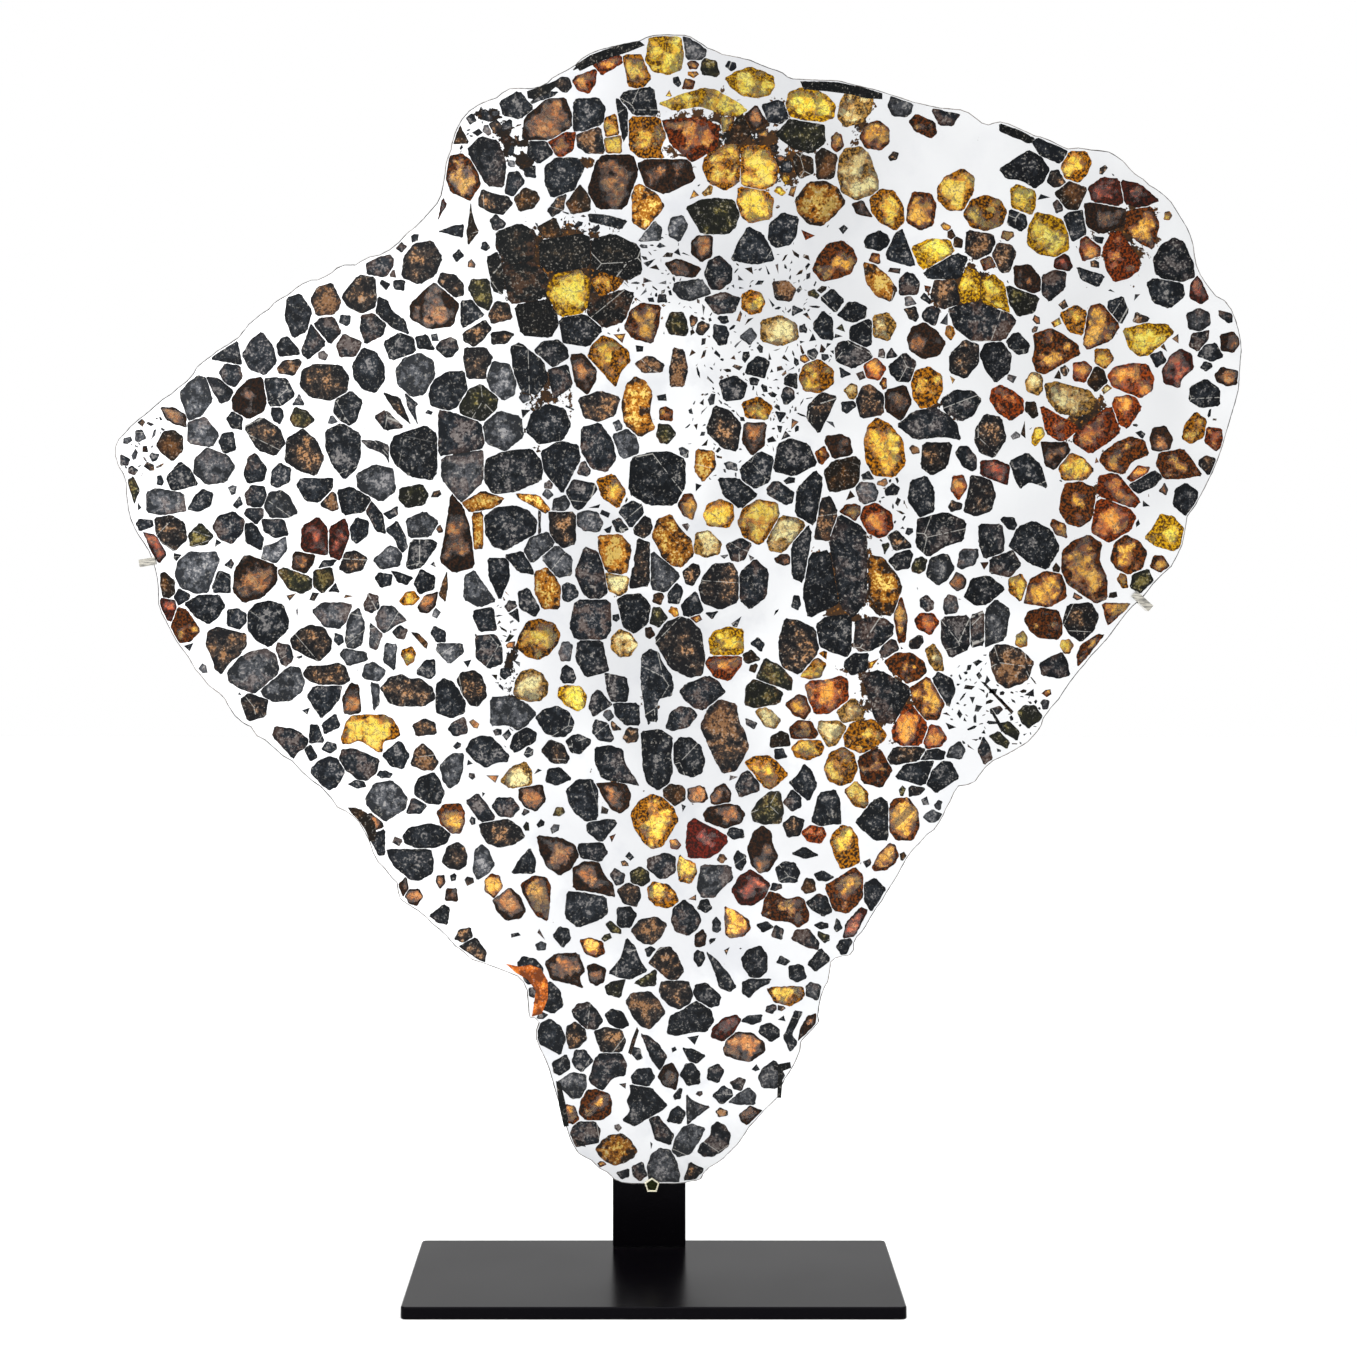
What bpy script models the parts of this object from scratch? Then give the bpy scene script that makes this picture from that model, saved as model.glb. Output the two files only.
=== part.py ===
# A polished pallasite slice, upright on a flat bar stand, held by three small metal claws.
# Metres, +X to the viewer's right, +Y away from the viewer, +Z up. The origin is the middle of the base's underside.
import math

import bmesh
import bpy
from mathutils import Matrix, Vector

SLICE_WIDTH = 0.4313
SLICE_THICKNESS = 0.0040
SLICE_FRONT_Y = 0.0340
POCKET_GAP = 0.0003

BASE_WIDTH = 0.180
BASE_DEPTH = 0.100
BASE_THICKNESS = 0.0045
BASE_CORNER_RADIUS = 0.0020
BASE_EDGE_ROUND = 0.0004

POST_WIDTH = 0.0280
POST_THICKNESS = 0.0070
POST_CENTRE_X = -0.0017
POST_TOP_Z = 0.100
POST_EDGE_ROUND = 0.0004
POST_BEHIND_SLICE = 0.0006

ARM_RADIUS = 0.0016
ARM_LEVEL_Z = 0.0935
ARM_LEVEL_RUN = 0.0030
ARM_TOP_INSET = 0.0015

CLAW_GAP = 0.0003
CLAW_WIDTH = 0.0029
CLAW_OUTSIDE = 0.0054
CLAW_LIP_THICKNESS = 0.0013
CLAW_WEB_GAP = 0.0008
LEFT_LIP_OVERLAP = 0.0009
RIGHT_LIP_OVERLAP = 0.0032
CLAW_BACK_THICKNESS = 0.0012
CLAW_BACK_OVERLAP = 0.0040
BOTTOM_CLAW_WIDTH = 0.0054
BOTTOM_CLAW_DROP = 0.0034
BOTTOM_CLAW_LIP_RISE = 0.0019
BOTTOM_CLAW_GABLE = 0.0018

# Where things are in the photograph, in its pixels. Columns run right, rows run down.
STAND_CENTRE_COLUMN = 653.6
HORIZON_ROW = 537.0
HORIZON_Z = 0.2779
SLICE_LEFT_COLUMN = 117.0
SLICE_RIGHT_COLUMN = 1240.0
LEFT_CLAW_EDGE = (154.5, 561.0)
RIGHT_CLAW_EDGE = (1139.0, 599.0)
BOTTOM_CLAW_EDGE = (652.0, 1181.8)
LEFT_CLAW_TURN = math.radians(190.0)
RIGHT_CLAW_TURN = math.radians(-42.0)

METRES_PER_PIXEL = SLICE_WIDTH / (SLICE_RIGHT_COLUMN - SLICE_LEFT_COLUMN)
SLICE_BACK_Y = SLICE_FRONT_Y + SLICE_THICKNESS
SLICE_MIDDLE_Y = SLICE_FRONT_Y + SLICE_THICKNESS / 2

# The slice's rim, read clockwise from the top.
SLICE_RIM = (
    (655, 36.5), (665, 36), (684, 36.5), (690, 38), (700, 44), (707, 49), (715, 52), (722, 55.5), (730, 57),
    (740, 59), (750, 61.5), (758, 65), (768, 69), (776, 71.5), (782, 74), (787, 78), (792, 80), (812, 81),
    (838, 82), (850, 85), (862, 88), (875, 91), (888, 95), (900, 99), (912, 103), (925, 106), (938, 109),
    (960, 111), (968, 114), (976, 120), (981, 124), (988, 126), (994, 124), (1000, 123), (1008, 125),
    (1017, 129), (1026, 133), (1034, 137), (1040, 138), (1050, 142), (1060, 147), (1067, 150), (1078, 149),
    (1090, 151), (1100, 152), (1108, 153), (1115, 157), (1122, 162), (1128, 169), (1134, 175), (1142, 180),
    (1148, 186), (1155, 190), (1163, 196), (1170, 203), (1175, 211), (1180, 219), (1185, 227), (1189, 236),
    (1192, 246), (1193, 256), (1195, 266), (1199, 275), (1204, 283), (1210, 291), (1215, 297), (1223, 301),
    (1230, 310), (1234, 320), (1237, 330), (1239, 340), (1240, 350), (1239, 360), (1238, 375), (1237, 390),
    (1233, 405), (1229, 418), (1225, 432), (1221, 446), (1216, 460), (1211, 472), (1205, 484), (1200, 494),
    (1194, 505), (1186, 516), (1184, 528), (1181, 544), (1176, 555), (1170, 566), (1160, 575), (1152, 583),
    (1147, 590), (1140, 598), (1131, 606), (1124, 614), (1118, 622), (1112, 630), (1107, 637), (1098, 647),
    (1090, 655), (1084, 663), (1077, 671), (1070, 680), (1063, 690), (1058, 698), (1050, 707), (1042, 718),
    (1040, 725), (1036, 731), (1027, 741), (1016, 748), (1005, 754), (992, 760), (985, 766), (978, 775),
    (974, 781), (966, 784), (958, 785), (953, 792), (949, 801), (945, 808), (942, 815), (938, 822), (933, 829),
    (926, 834), (919, 842), (912, 849), (906, 857), (902, 864), (898, 872), (892, 882), (886, 891), (881, 900),
    (875, 908), (870, 916), (865, 925), (861, 931), (856, 936), (853, 942), (853, 949), (849, 954), (842, 955),
    (835, 957), (830, 961), (829, 970), (827, 981), (824, 986), (820, 996), (818, 1006), (817, 1015),
    (818, 1021), (812, 1028), (804, 1036), (800, 1041), (799, 1050), (794, 1062), (790, 1069), (784, 1078),
    (779, 1088), (777, 1096), (770, 1103), (762, 1111), (755, 1119), (749, 1125), (742, 1136), (737, 1143),
    (730, 1150), (723, 1157), (716, 1162), (709, 1166), (703, 1172), (700, 1178), (685, 1181), (678, 1182),
    (660, 1182), (648, 1182), (633, 1182), (622, 1181), (615, 1178), (608, 1171), (600, 1167), (592, 1159),
    (586, 1156), (579, 1152), (574, 1144), (570, 1135), (567, 1125), (562, 1108), (558, 1096), (554, 1082),
    (550, 1068), (546, 1058), (541, 1048), (537, 1038), (537, 1030), (540, 1022), (536, 1017), (530, 1016),
    (529, 1004), (528, 990), (524, 981), (518, 975), (508, 971), (498, 967), (484, 962), (472, 958), (462, 949),
    (456, 945), (449, 937), (440, 928), (432, 922), (428, 917), (418, 909), (408, 903), (401, 898), (399, 890),
    (398, 882), (392, 876), (386, 868), (379, 861), (374, 852), (371, 842), (366, 832), (360, 821), (352, 814),
    (346, 810), (338, 806), (332, 797), (322, 786), (312, 779), (303, 771), (293, 760), (284, 755), (275, 747),
    (266, 739), (258, 735), (252, 726), (244, 722), (236, 715), (230, 706), (226, 698), (220, 692), (210, 685),
    (203, 676), (196, 668), (190, 657), (184, 649), (178, 641), (174, 634), (171, 628), (167, 620), (163, 613),
    (160, 604), (160, 592), (159, 580), (157, 570), (154, 560), (150, 550), (145, 542), (140, 535), (136, 528),
    (132, 518), (130, 510), (129, 502), (128, 494), (128, 484), (125, 474), (120, 466), (117, 456), (117, 447),
    (120, 440), (126, 434), (132, 427), (140, 420), (148, 414), (156, 407), (164, 400), (172, 395), (180, 388),
    (188, 382), (195, 374), (198, 368), (205, 362), (212, 357), (218, 352), (228, 346), (240, 338), (250, 325),
    (256, 320), (262, 315), (270, 310), (275, 304), (281, 300), (290, 295), (297, 289), (303, 285), (312, 281),
    (318, 281), (325, 278), (332, 274), (338, 269), (345, 266), (356, 266), (362, 262), (370, 258), (380, 256),
    (390, 251), (400, 243), (408, 234), (416, 228), (424, 220), (432, 211), (438, 204), (442, 196), (444, 186),
    (446, 174), (447, 164), (449, 158), (452, 150), (453, 144), (456, 134), (459, 127), (463, 120), (470, 112),
    (479, 106), (488, 102), (497, 99), (503, 94), (510, 90), (520, 89.5), (530, 90), (540, 88), (548, 84),
    (553, 79), (560, 75), (568, 71), (576, 66), (582, 60), (590, 55), (600, 51), (610, 48.5), (620, 46),
    (632, 43.5), (640, 42), (647, 38.5),
)

# The largest crystals by tone, each read as its corners.
GOLD_CRYSTALS = (
    ((724, 79), (735, 72), (750, 67), (764, 72), (774, 77), (775, 87), (770, 96), (757, 99), (742, 97), (730, 88)),
    ((657, 104), (680, 95), (703, 88), (716, 90), (728, 97), (740, 104), (748, 111), (738, 117), (722, 116),
     (700, 107), (674, 112)),
    ((788, 93), (800, 88), (815, 89), (827, 96), (836, 106), (834, 119), (822, 123), (802, 121), (789, 117),
     (785, 105)),
    ((1035, 212), (1050, 215), (1062, 220), (1068, 235), (1069, 250), (1055, 258), (1038, 255), (1026, 245),
     (1027, 228)),
    ((1121, 329), (1145, 323), (1167, 324), (1174, 333), (1161, 345), (1148, 356), (1138, 357), (1128, 349)),
    ((1043, 384), (1055, 381), (1072, 386), (1089, 390), (1096, 400), (1091, 414), (1075, 417), (1057, 414),
     (1046, 400)),
    ((591, 346), (602, 335), (614, 339), (629, 351), (631, 362), (621, 372), (616, 388), (608, 380), (598, 368),
     (587, 357)),
    ((626, 384), (635, 376), (646, 381), (653, 393), (650, 414), (656, 429), (640, 438), (624, 425), (621, 405)),
    ((515, 647), (519, 635), (527, 621), (540, 618), (555, 623), (561, 634), (558, 644), (549, 655), (539, 660),
     (527, 657)),
    ((513, 694), (515, 681), (521, 671), (532, 668), (543, 673), (549, 683), (548, 694), (541, 701), (530, 702),
     (519, 699)),
    ((343, 744), (341, 738), (346, 722), (352, 715), (366, 714), (385, 714), (393, 718), (399, 727), (401, 735),
     (395, 739), (384, 741), (383, 752), (378, 752), (360, 740), (350, 744)),
    ((630, 813), (639, 800), (652, 793), (663, 797), (674, 807), (679, 820), (672, 831), (663, 846), (652, 849),
     (643, 842), (634, 828)),
    ((823, 768), (829, 752), (843, 746), (854, 753), (858, 768), (852, 782), (840, 786), (828, 781)),
    ((829, 841), (832, 833), (841, 824), (851, 826), (858, 837), (859, 850), (860, 862), (850, 867), (840, 869),
     (834, 856)),
    ((766, 988), (772, 986), (792, 985), (803, 986), (805, 994), (802, 999), (790, 1006), (783, 1004),
     (774, 1002)),
    ((595, 1148), (602, 1139), (609, 1134), (622, 1132), (631, 1139), (638, 1150), (634, 1157), (625, 1162),
     (615, 1165), (606, 1161), (599, 1155)),
)
AMBER_CRYSTALS = (
    ((808, 182), (825, 181), (838, 188), (846, 203), (835, 216), (822, 227), (808, 225), (797, 213), (794, 200)),
    ((970, 200), (985, 195), (1000, 200), (1007, 212), (1002, 226), (985, 232), (970, 228), (962, 215)),
    ((1110, 232), (1120, 231), (1129, 245), (1139, 258), (1139, 271), (1128, 279), (1113, 283), (1105, 270),
     (1101, 250)),
    ((1113, 367), (1130, 363), (1147, 364), (1154, 378), (1152, 391), (1140, 399), (1125, 393), (1111, 387),
     (1106, 376)),
    ((1032, 334), (1050, 328), (1062, 334), (1078, 345), (1080, 355), (1065, 363), (1053, 370), (1044, 375),
     (1035, 372), (1031, 360), (1034, 348)),
    ((1101, 453), (1115, 442), (1130, 436), (1144, 440), (1149, 455), (1131, 462), (1124, 475), (1106, 471),
     (1098, 461)),
    ((1064, 483), (1080, 481), (1094, 487), (1095, 500), (1091, 520), (1079, 528), (1066, 524), (1058, 511),
     (1060, 496)),
    ((1061, 551), (1071, 541), (1088, 534), (1102, 543), (1099, 560), (1107, 578), (1107, 599), (1095, 604),
     (1080, 594), (1066, 584), (1060, 570)),
    ((1113, 543), (1125, 534), (1139, 541), (1147, 552), (1142, 569), (1128, 575), (1115, 569), (1109, 560)),
    ((867, 426), (876, 417), (890, 424), (903, 440), (906, 464), (894, 478), (873, 476), (865, 462), (863, 441)),
    ((685, 845), (687, 823), (694, 817), (702, 822), (717, 829), (727, 835), (728, 842), (719, 852), (709, 858),
     (688, 858)),
    ((804, 685), (810, 680), (828, 679), (840, 675), (848, 679), (849, 699), (837, 708), (828, 714), (814, 714),
     (808, 700)),
    ((883, 661), (896, 652), (911, 652), (924, 661), (927, 672), (918, 680), (906, 684), (900, 678), (889, 671)),
    ((871, 867), (878, 853), (889, 842), (895, 844), (899, 855), (895, 863), (886, 870), (874, 871)),
    ((724, 905), (736, 910), (749, 919), (751, 928), (744, 936), (730, 938), (725, 934), (724, 918)),
    ((1023, 620), (1027, 611), (1042, 607), (1058, 610), (1062, 622), (1062, 634), (1057, 640), (1048, 639),
     (1038, 638), (1029, 631)),
)
DARK_CRYSTALS = (
    ((510, 347), (520, 342), (544, 361), (549, 380), (537, 396), (521, 392), (513, 371)),
    ((581, 427), (600, 422), (613, 440), (617, 459), (607, 473), (591, 469), (580, 450)),
    ((484, 516), (496, 507), (515, 505), (529, 510), (538, 521), (536, 534), (520, 543), (505, 551), (493, 547),
     (485, 534)),
    ((363, 347), (377, 352), (385, 365), (386, 380), (376, 394), (363, 390), (354, 379), (352, 365)),
    ((178, 561), (190, 551), (205, 552), (217, 551), (221, 560), (214, 579), (209, 593), (196, 594), (181, 588),
     (175, 575)),
    ((911, 327), (924, 322), (937, 331), (946, 343), (939, 356), (923, 360), (909, 351), (906, 339)),
    ((685, 208), (700, 200), (716, 198), (734, 200), (740, 215), (736, 228), (728, 235), (701, 235), (693, 221)),
    ((208, 631), (218, 626), (232, 630), (247, 633), (248, 645), (240, 656), (230, 663), (222, 675), (215, 669),
     (212, 657), (206, 645)),
    ((248, 612), (256, 603), (270, 600), (284, 604), (290, 620), (289, 630), (270, 648), (257, 641), (248, 630)),
    ((290, 639), (300, 629), (311, 624), (325, 627), (333, 640), (332, 650), (320, 662), (308, 657), (293, 649)),
    ((465, 750), (471, 739), (481, 735), (492, 736), (501, 745), (510, 755), (508, 762), (498, 762), (486, 768),
     (475, 761)),
    ((443, 857), (447, 846), (458, 841), (465, 846), (468, 855), (467, 865), (459, 870), (449, 868), (442, 862)),
    ((535, 717), (543, 709), (557, 705), (569, 711), (575, 722), (572, 731), (565, 737), (554, 737), (545, 733),
     (539, 724)),
    ((641, 655), (650, 648), (659, 652), (663, 663), (672, 675), (674, 686), (672, 696), (658, 699), (658, 722),
     (646, 722), (640, 681)),
    ((854, 621), (872, 616), (885, 618), (894, 625), (893, 635), (882, 645), (871, 651), (859, 652), (852, 646),
     (854, 634)),
    ((697, 1151), (700, 1143), (710, 1135), (711, 1125), (717, 1120), (725, 1124), (731, 1133), (729, 1145),
     (720, 1152), (713, 1156), (703, 1156)),
    ((625, 1001), (631, 992), (650, 990), (659, 999), (666, 1012), (659, 1020), (650, 1029), (641, 1026),
     (633, 1017)),
    ((988, 653), (995, 644), (1006, 644), (1019, 648), (1027, 655), (1034, 662), (1028, 679), (1021, 684),
     (1006, 689), (996, 682), (991, 670)),
)


def on_slice(pixel):
    x = (pixel[0] - STAND_CENTRE_COLUMN) * METRES_PER_PIXEL
    z = HORIZON_Z + (HORIZON_ROW - pixel[1]) * METRES_PER_PIXEL
    return Vector((x, z))


def signed_area(loop):
    pairs = zip(loop, loop[1:] + loop[:1])
    return sum(here.x * there.y - there.x * here.y for here, there in pairs) / 2


def grown(loop, distance):
    # Moves each side of the loop outwards by the distance and meets the sides again at the corners.
    turn = 1.0 if signed_area(loop) > 0 else -1.0
    corners = []
    for index, corner in enumerate(loop):
        before = (corner - loop[index - 1]).normalized()
        after = (loop[(index + 1) % len(loop)] - corner).normalized()
        out_before = Vector((before.y, -before.x)) * turn
        out_after = Vector((after.y, -after.x)) * turn
        middle = (out_before + out_after).normalized()
        corners.append(corner + middle * (distance / max(middle.dot(out_before), 0.5)))
    return corners


def new_material(name, colour, metallic, roughness, transmission=0.0):
    material = bpy.data.materials.new(name)
    material.use_nodes = True
    shader = material.node_tree.nodes["Principled BSDF"]
    shader.inputs["Base Color"].default_value = (*colour, 1.0)
    shader.inputs["Metallic"].default_value = metallic
    shader.inputs["Roughness"].default_value = roughness
    shader.inputs["Transmission Weight"].default_value = transmission
    return material


def add_object(name, mesh, material, collection):
    mesh.name = name
    mesh.materials.clear()
    mesh.materials.append(material)
    piece = bpy.data.objects.new(name, mesh)
    collection.objects.link(piece)
    return piece


def mesh_from_curve(curve):
    guide = bpy.data.objects.new("guide", curve)
    mesh = bpy.data.meshes.new_from_object(guide)
    bpy.data.objects.remove(guide, do_unlink=True)
    work = bmesh.new()
    work.from_mesh(mesh)
    bmesh.ops.remove_doubles(work, verts=work.verts, dist=1e-7)
    bmesh.ops.recalc_face_normals(work, faces=work.faces)
    work.to_mesh(mesh)
    work.free()
    return mesh


def flat_mesh(loops, thickness):
    # A flat piece from its outline and the outlines of its pockets, lying in the curve's own XY plane.
    curve = bpy.data.curves.new("outline", "CURVE")
    curve.dimensions = "2D"
    curve.fill_mode = "BOTH"
    curve.extrude = thickness / 2
    for loop in loops:
        spline = curve.splines.new("POLY")
        spline.points.add(len(loop) - 1)
        for point, corner in zip(spline.points, loop):
            point.co = (corner.x, corner.y, 0.0, 1.0)
        spline.use_cyclic_u = True
    return mesh_from_curve(curve)


def upright_at(mesh, middle_y):
    # Stands the flat piece up, with its thickness along Y.
    mesh.transform(Matrix.Translation((0.0, middle_y, 0.0)) @ Matrix.Rotation(math.radians(90), 4, "X"))
    return mesh


def rounded_box(size, centre, upright_radius, edge_radius):
    # A box with rounded upright corners and a smaller round on its other edges.
    work = bmesh.new()
    bmesh.ops.create_cube(work, size=1.0)
    bmesh.ops.scale(work, vec=size, verts=work.verts)
    upright = [edge for edge in work.edges if abs(edge.verts[0].co.z - edge.verts[1].co.z) > size[2] / 2]
    bmesh.ops.bevel(work, geom=upright, offset=upright_radius, segments=4, profile=0.5, affect="EDGES")
    rims = [edge for edge in work.edges
            if abs(abs(edge.verts[0].co.z) - size[2] / 2) < 1e-6 and abs(edge.verts[0].co.z - edge.verts[1].co.z) < 1e-6]
    bmesh.ops.bevel(work, geom=rims, offset=edge_radius, segments=1, affect="EDGES")
    bmesh.ops.translate(work, vec=centre, verts=work.verts)
    mesh = bpy.data.meshes.new("box")
    work.to_mesh(mesh)
    work.free()
    return mesh


def rod_mesh(points, radius):
    curve = bpy.data.curves.new("rod", "CURVE")
    curve.dimensions = "3D"
    curve.bevel_depth = radius
    curve.bevel_resolution = 3
    curve.use_fill_caps = True
    spline = curve.splines.new("POLY")
    spline.points.add(len(points) - 1)
    for point, place in zip(spline.points, points):
        point.co = (*place, 1.0)
    return mesh_from_curve(curve)


def side_claw(edge_pixel, turn, lip_overlap):
    # A hooked tab around the slice's edge: out along +X, then turned about Y so that +X leaves the slice.
    lip_front = SLICE_FRONT_Y - CLAW_GAP - CLAW_LIP_THICKNESS
    lip_back = SLICE_FRONT_Y - CLAW_GAP
    back_front = SLICE_BACK_Y + CLAW_GAP
    back_back = back_front + CLAW_BACK_THICKNESS
    corners = (
        (-lip_overlap, lip_front), (CLAW_OUTSIDE, lip_front), (CLAW_OUTSIDE, back_back),
        (-CLAW_BACK_OVERLAP, back_back), (-CLAW_BACK_OVERLAP, back_front), (CLAW_WEB_GAP, back_front),
        (CLAW_WEB_GAP, lip_back), (-lip_overlap, lip_back),
    )
    mesh = flat_mesh([[Vector(corner) for corner in corners]], CLAW_WIDTH)
    edge = on_slice(edge_pixel)
    mesh.transform(Matrix.Translation((edge.x, 0.0, edge.y)) @ Matrix.Rotation(-turn, 4, "Y"))
    return mesh


def bottom_claw():
    # A shelf from the post under the slice, with a short gabled lip in front.
    edge = on_slice(BOTTOM_CLAW_EDGE)
    shelf_top = edge.y - CLAW_GAP
    shelf_low = edge.y - BOTTOM_CLAW_DROP
    lip_top = edge.y + BOTTOM_CLAW_LIP_RISE
    lip_front = SLICE_FRONT_Y - CLAW_GAP - CLAW_LIP_THICKNESS
    lip_back = SLICE_FRONT_Y - CLAW_GAP
    shelf_back = SLICE_BACK_Y + POST_BEHIND_SLICE - CLAW_GAP
    half = BOTTOM_CLAW_WIDTH / 2
    house = ((-half, shelf_low), (half, shelf_low), (half, lip_top - BOTTOM_CLAW_GABLE), (0.0, lip_top),
             (-half, lip_top - BOTTOM_CLAW_GABLE))
    work = bmesh.new()
    front = [work.verts.new((edge.x + x, lip_front, z)) for x, z in house]
    back = [work.verts.new((edge.x + x, lip_back, z)) for x, z in house]
    inner = [work.verts.new((edge.x + x, lip_back, shelf_top)) for x in (half, -half)]
    end = [work.verts.new((edge.x + x, shelf_back, z))
           for x, z in ((-half, shelf_low), (half, shelf_low), (half, shelf_top), (-half, shelf_top))]
    work.faces.new(front)
    for index in (2, 3):
        work.faces.new((front[index], front[index + 1], back[index + 1], back[index]))
    work.faces.new((front[0], front[1], back[1], end[1], end[0], back[0]))
    work.faces.new((front[1], front[2], back[2], inner[0], back[1]))
    work.faces.new((back[1], inner[0], end[2], end[1]))
    work.faces.new((front[4], front[0], back[0], inner[1], back[4]))
    work.faces.new((back[0], end[0], end[3], inner[1]))
    work.faces.new((inner[0], back[2], back[3], back[4], inner[1]))
    work.faces.new((inner[0], inner[1], end[3], end[2]))
    work.faces.new((end[0], end[1], end[2], end[3]))
    bmesh.ops.recalc_face_normals(work, faces=work.faces)
    mesh = bpy.data.meshes.new("claw")
    work.to_mesh(mesh)
    work.free()
    return mesh


for leftover in list(bpy.data.objects):
    bpy.data.objects.remove(leftover, do_unlink=True)

parts = bpy.data.collections.new("pallasite_slice")
bpy.context.scene.collection.children.link(parts)

iron_nickel = new_material("iron_nickel", (0.86, 0.86, 0.85), 1.0, 0.18)
olivine_gold = new_material("olivine_gold", (0.80, 0.58, 0.16), 0.0, 0.08, 0.8)
olivine_amber = new_material("olivine_amber", (0.58, 0.27, 0.06), 0.0, 0.08, 0.8)
olivine_dark = new_material("olivine_dark", (0.05, 0.055, 0.05), 0.0, 0.15)
stand_black = new_material("stand_black", (0.02, 0.02, 0.024), 0.0, 0.35)
claw_metal = new_material("claw_metal", (0.78, 0.76, 0.70), 1.0, 0.25)

crystals = [([on_slice(corner) for corner in loop], olivine)
            for family, olivine in ((GOLD_CRYSTALS, olivine_gold), (AMBER_CRYSTALS, olivine_amber),
                                    (DARK_CRYSTALS, olivine_dark))
            for loop in family]

rim = [on_slice(corner) for corner in SLICE_RIM]
pockets = [grown(loop, POCKET_GAP) for loop, olivine in crystals]
plate = upright_at(flat_mesh([rim] + pockets, SLICE_THICKNESS), SLICE_MIDDLE_Y)
add_object("metal_matrix", plate, iron_nickel, parts)

for number, (loop, olivine) in enumerate(crystals, start=1):
    prism = upright_at(flat_mesh([loop], SLICE_THICKNESS), SLICE_MIDDLE_Y)
    add_object(f"olivine_{number:02d}", prism, olivine, parts)

base = rounded_box((BASE_WIDTH, BASE_DEPTH, BASE_THICKNESS), (0.0, 0.0, BASE_THICKNESS / 2),
                   BASE_CORNER_RADIUS, BASE_EDGE_ROUND)
add_object("base_plate", base, stand_black, parts)

post_foot_z = BASE_THICKNESS + CLAW_GAP
post_height = POST_TOP_Z - post_foot_z
post_front_y = SLICE_BACK_Y + POST_BEHIND_SLICE
post_centre = (POST_CENTRE_X, post_front_y + POST_THICKNESS / 2, post_foot_z + post_height / 2)
post = rounded_box((POST_WIDTH, POST_THICKNESS, post_height), post_centre, POST_EDGE_ROUND, POST_EDGE_ROUND / 2)
add_object("post", post, stand_black, parts)

arm_y = SLICE_BACK_Y + CLAW_GAP + CLAW_BACK_THICKNESS + CLAW_GAP + ARM_RADIUS
for side, name, edge_pixel, turn, lip_overlap in (
        (-1, "left", LEFT_CLAW_EDGE, LEFT_CLAW_TURN, LEFT_LIP_OVERLAP),
        (1, "right", RIGHT_CLAW_EDGE, RIGHT_CLAW_TURN, RIGHT_LIP_OVERLAP)):
    edge = on_slice(edge_pixel)
    start_x = POST_CENTRE_X + side * (POST_WIDTH / 2 + CLAW_GAP)
    inward = Vector((-math.cos(turn), -math.sin(turn)))
    tip = edge + inward * ARM_TOP_INSET
    arm = rod_mesh(((start_x, arm_y, ARM_LEVEL_Z), (start_x + side * ARM_LEVEL_RUN, arm_y, ARM_LEVEL_Z),
                    (tip.x, arm_y, tip.y)), ARM_RADIUS)
    add_object(f"{name}_arm", arm, stand_black, parts)
    add_object(f"{name}_claw", side_claw(edge_pixel, turn, lip_overlap), claw_metal, parts)

add_object("bottom_claw", bottom_claw(), claw_metal, parts)
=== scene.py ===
import math
import random

import bmesh
import bpy
from mathutils import Matrix, Vector, kdtree, noise
from mathutils.geometry import convex_hull_2d


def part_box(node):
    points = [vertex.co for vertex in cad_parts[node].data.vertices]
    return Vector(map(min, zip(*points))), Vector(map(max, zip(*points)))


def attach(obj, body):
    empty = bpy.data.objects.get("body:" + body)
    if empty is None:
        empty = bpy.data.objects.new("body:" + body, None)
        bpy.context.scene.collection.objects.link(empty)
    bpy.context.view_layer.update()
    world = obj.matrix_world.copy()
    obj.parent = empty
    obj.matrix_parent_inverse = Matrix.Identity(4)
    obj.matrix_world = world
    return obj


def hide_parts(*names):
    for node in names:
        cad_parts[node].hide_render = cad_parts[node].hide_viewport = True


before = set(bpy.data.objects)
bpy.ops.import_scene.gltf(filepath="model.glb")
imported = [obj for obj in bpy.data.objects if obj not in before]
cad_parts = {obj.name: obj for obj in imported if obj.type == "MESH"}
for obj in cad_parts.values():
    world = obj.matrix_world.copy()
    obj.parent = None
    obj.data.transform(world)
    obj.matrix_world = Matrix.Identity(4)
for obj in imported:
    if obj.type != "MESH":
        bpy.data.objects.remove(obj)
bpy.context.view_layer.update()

print("frame loaded:", len(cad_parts), "nodes")
random.seed(31)
millimetre = 0.001


# ---------------------------------------------------------------- shader wiring

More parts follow.
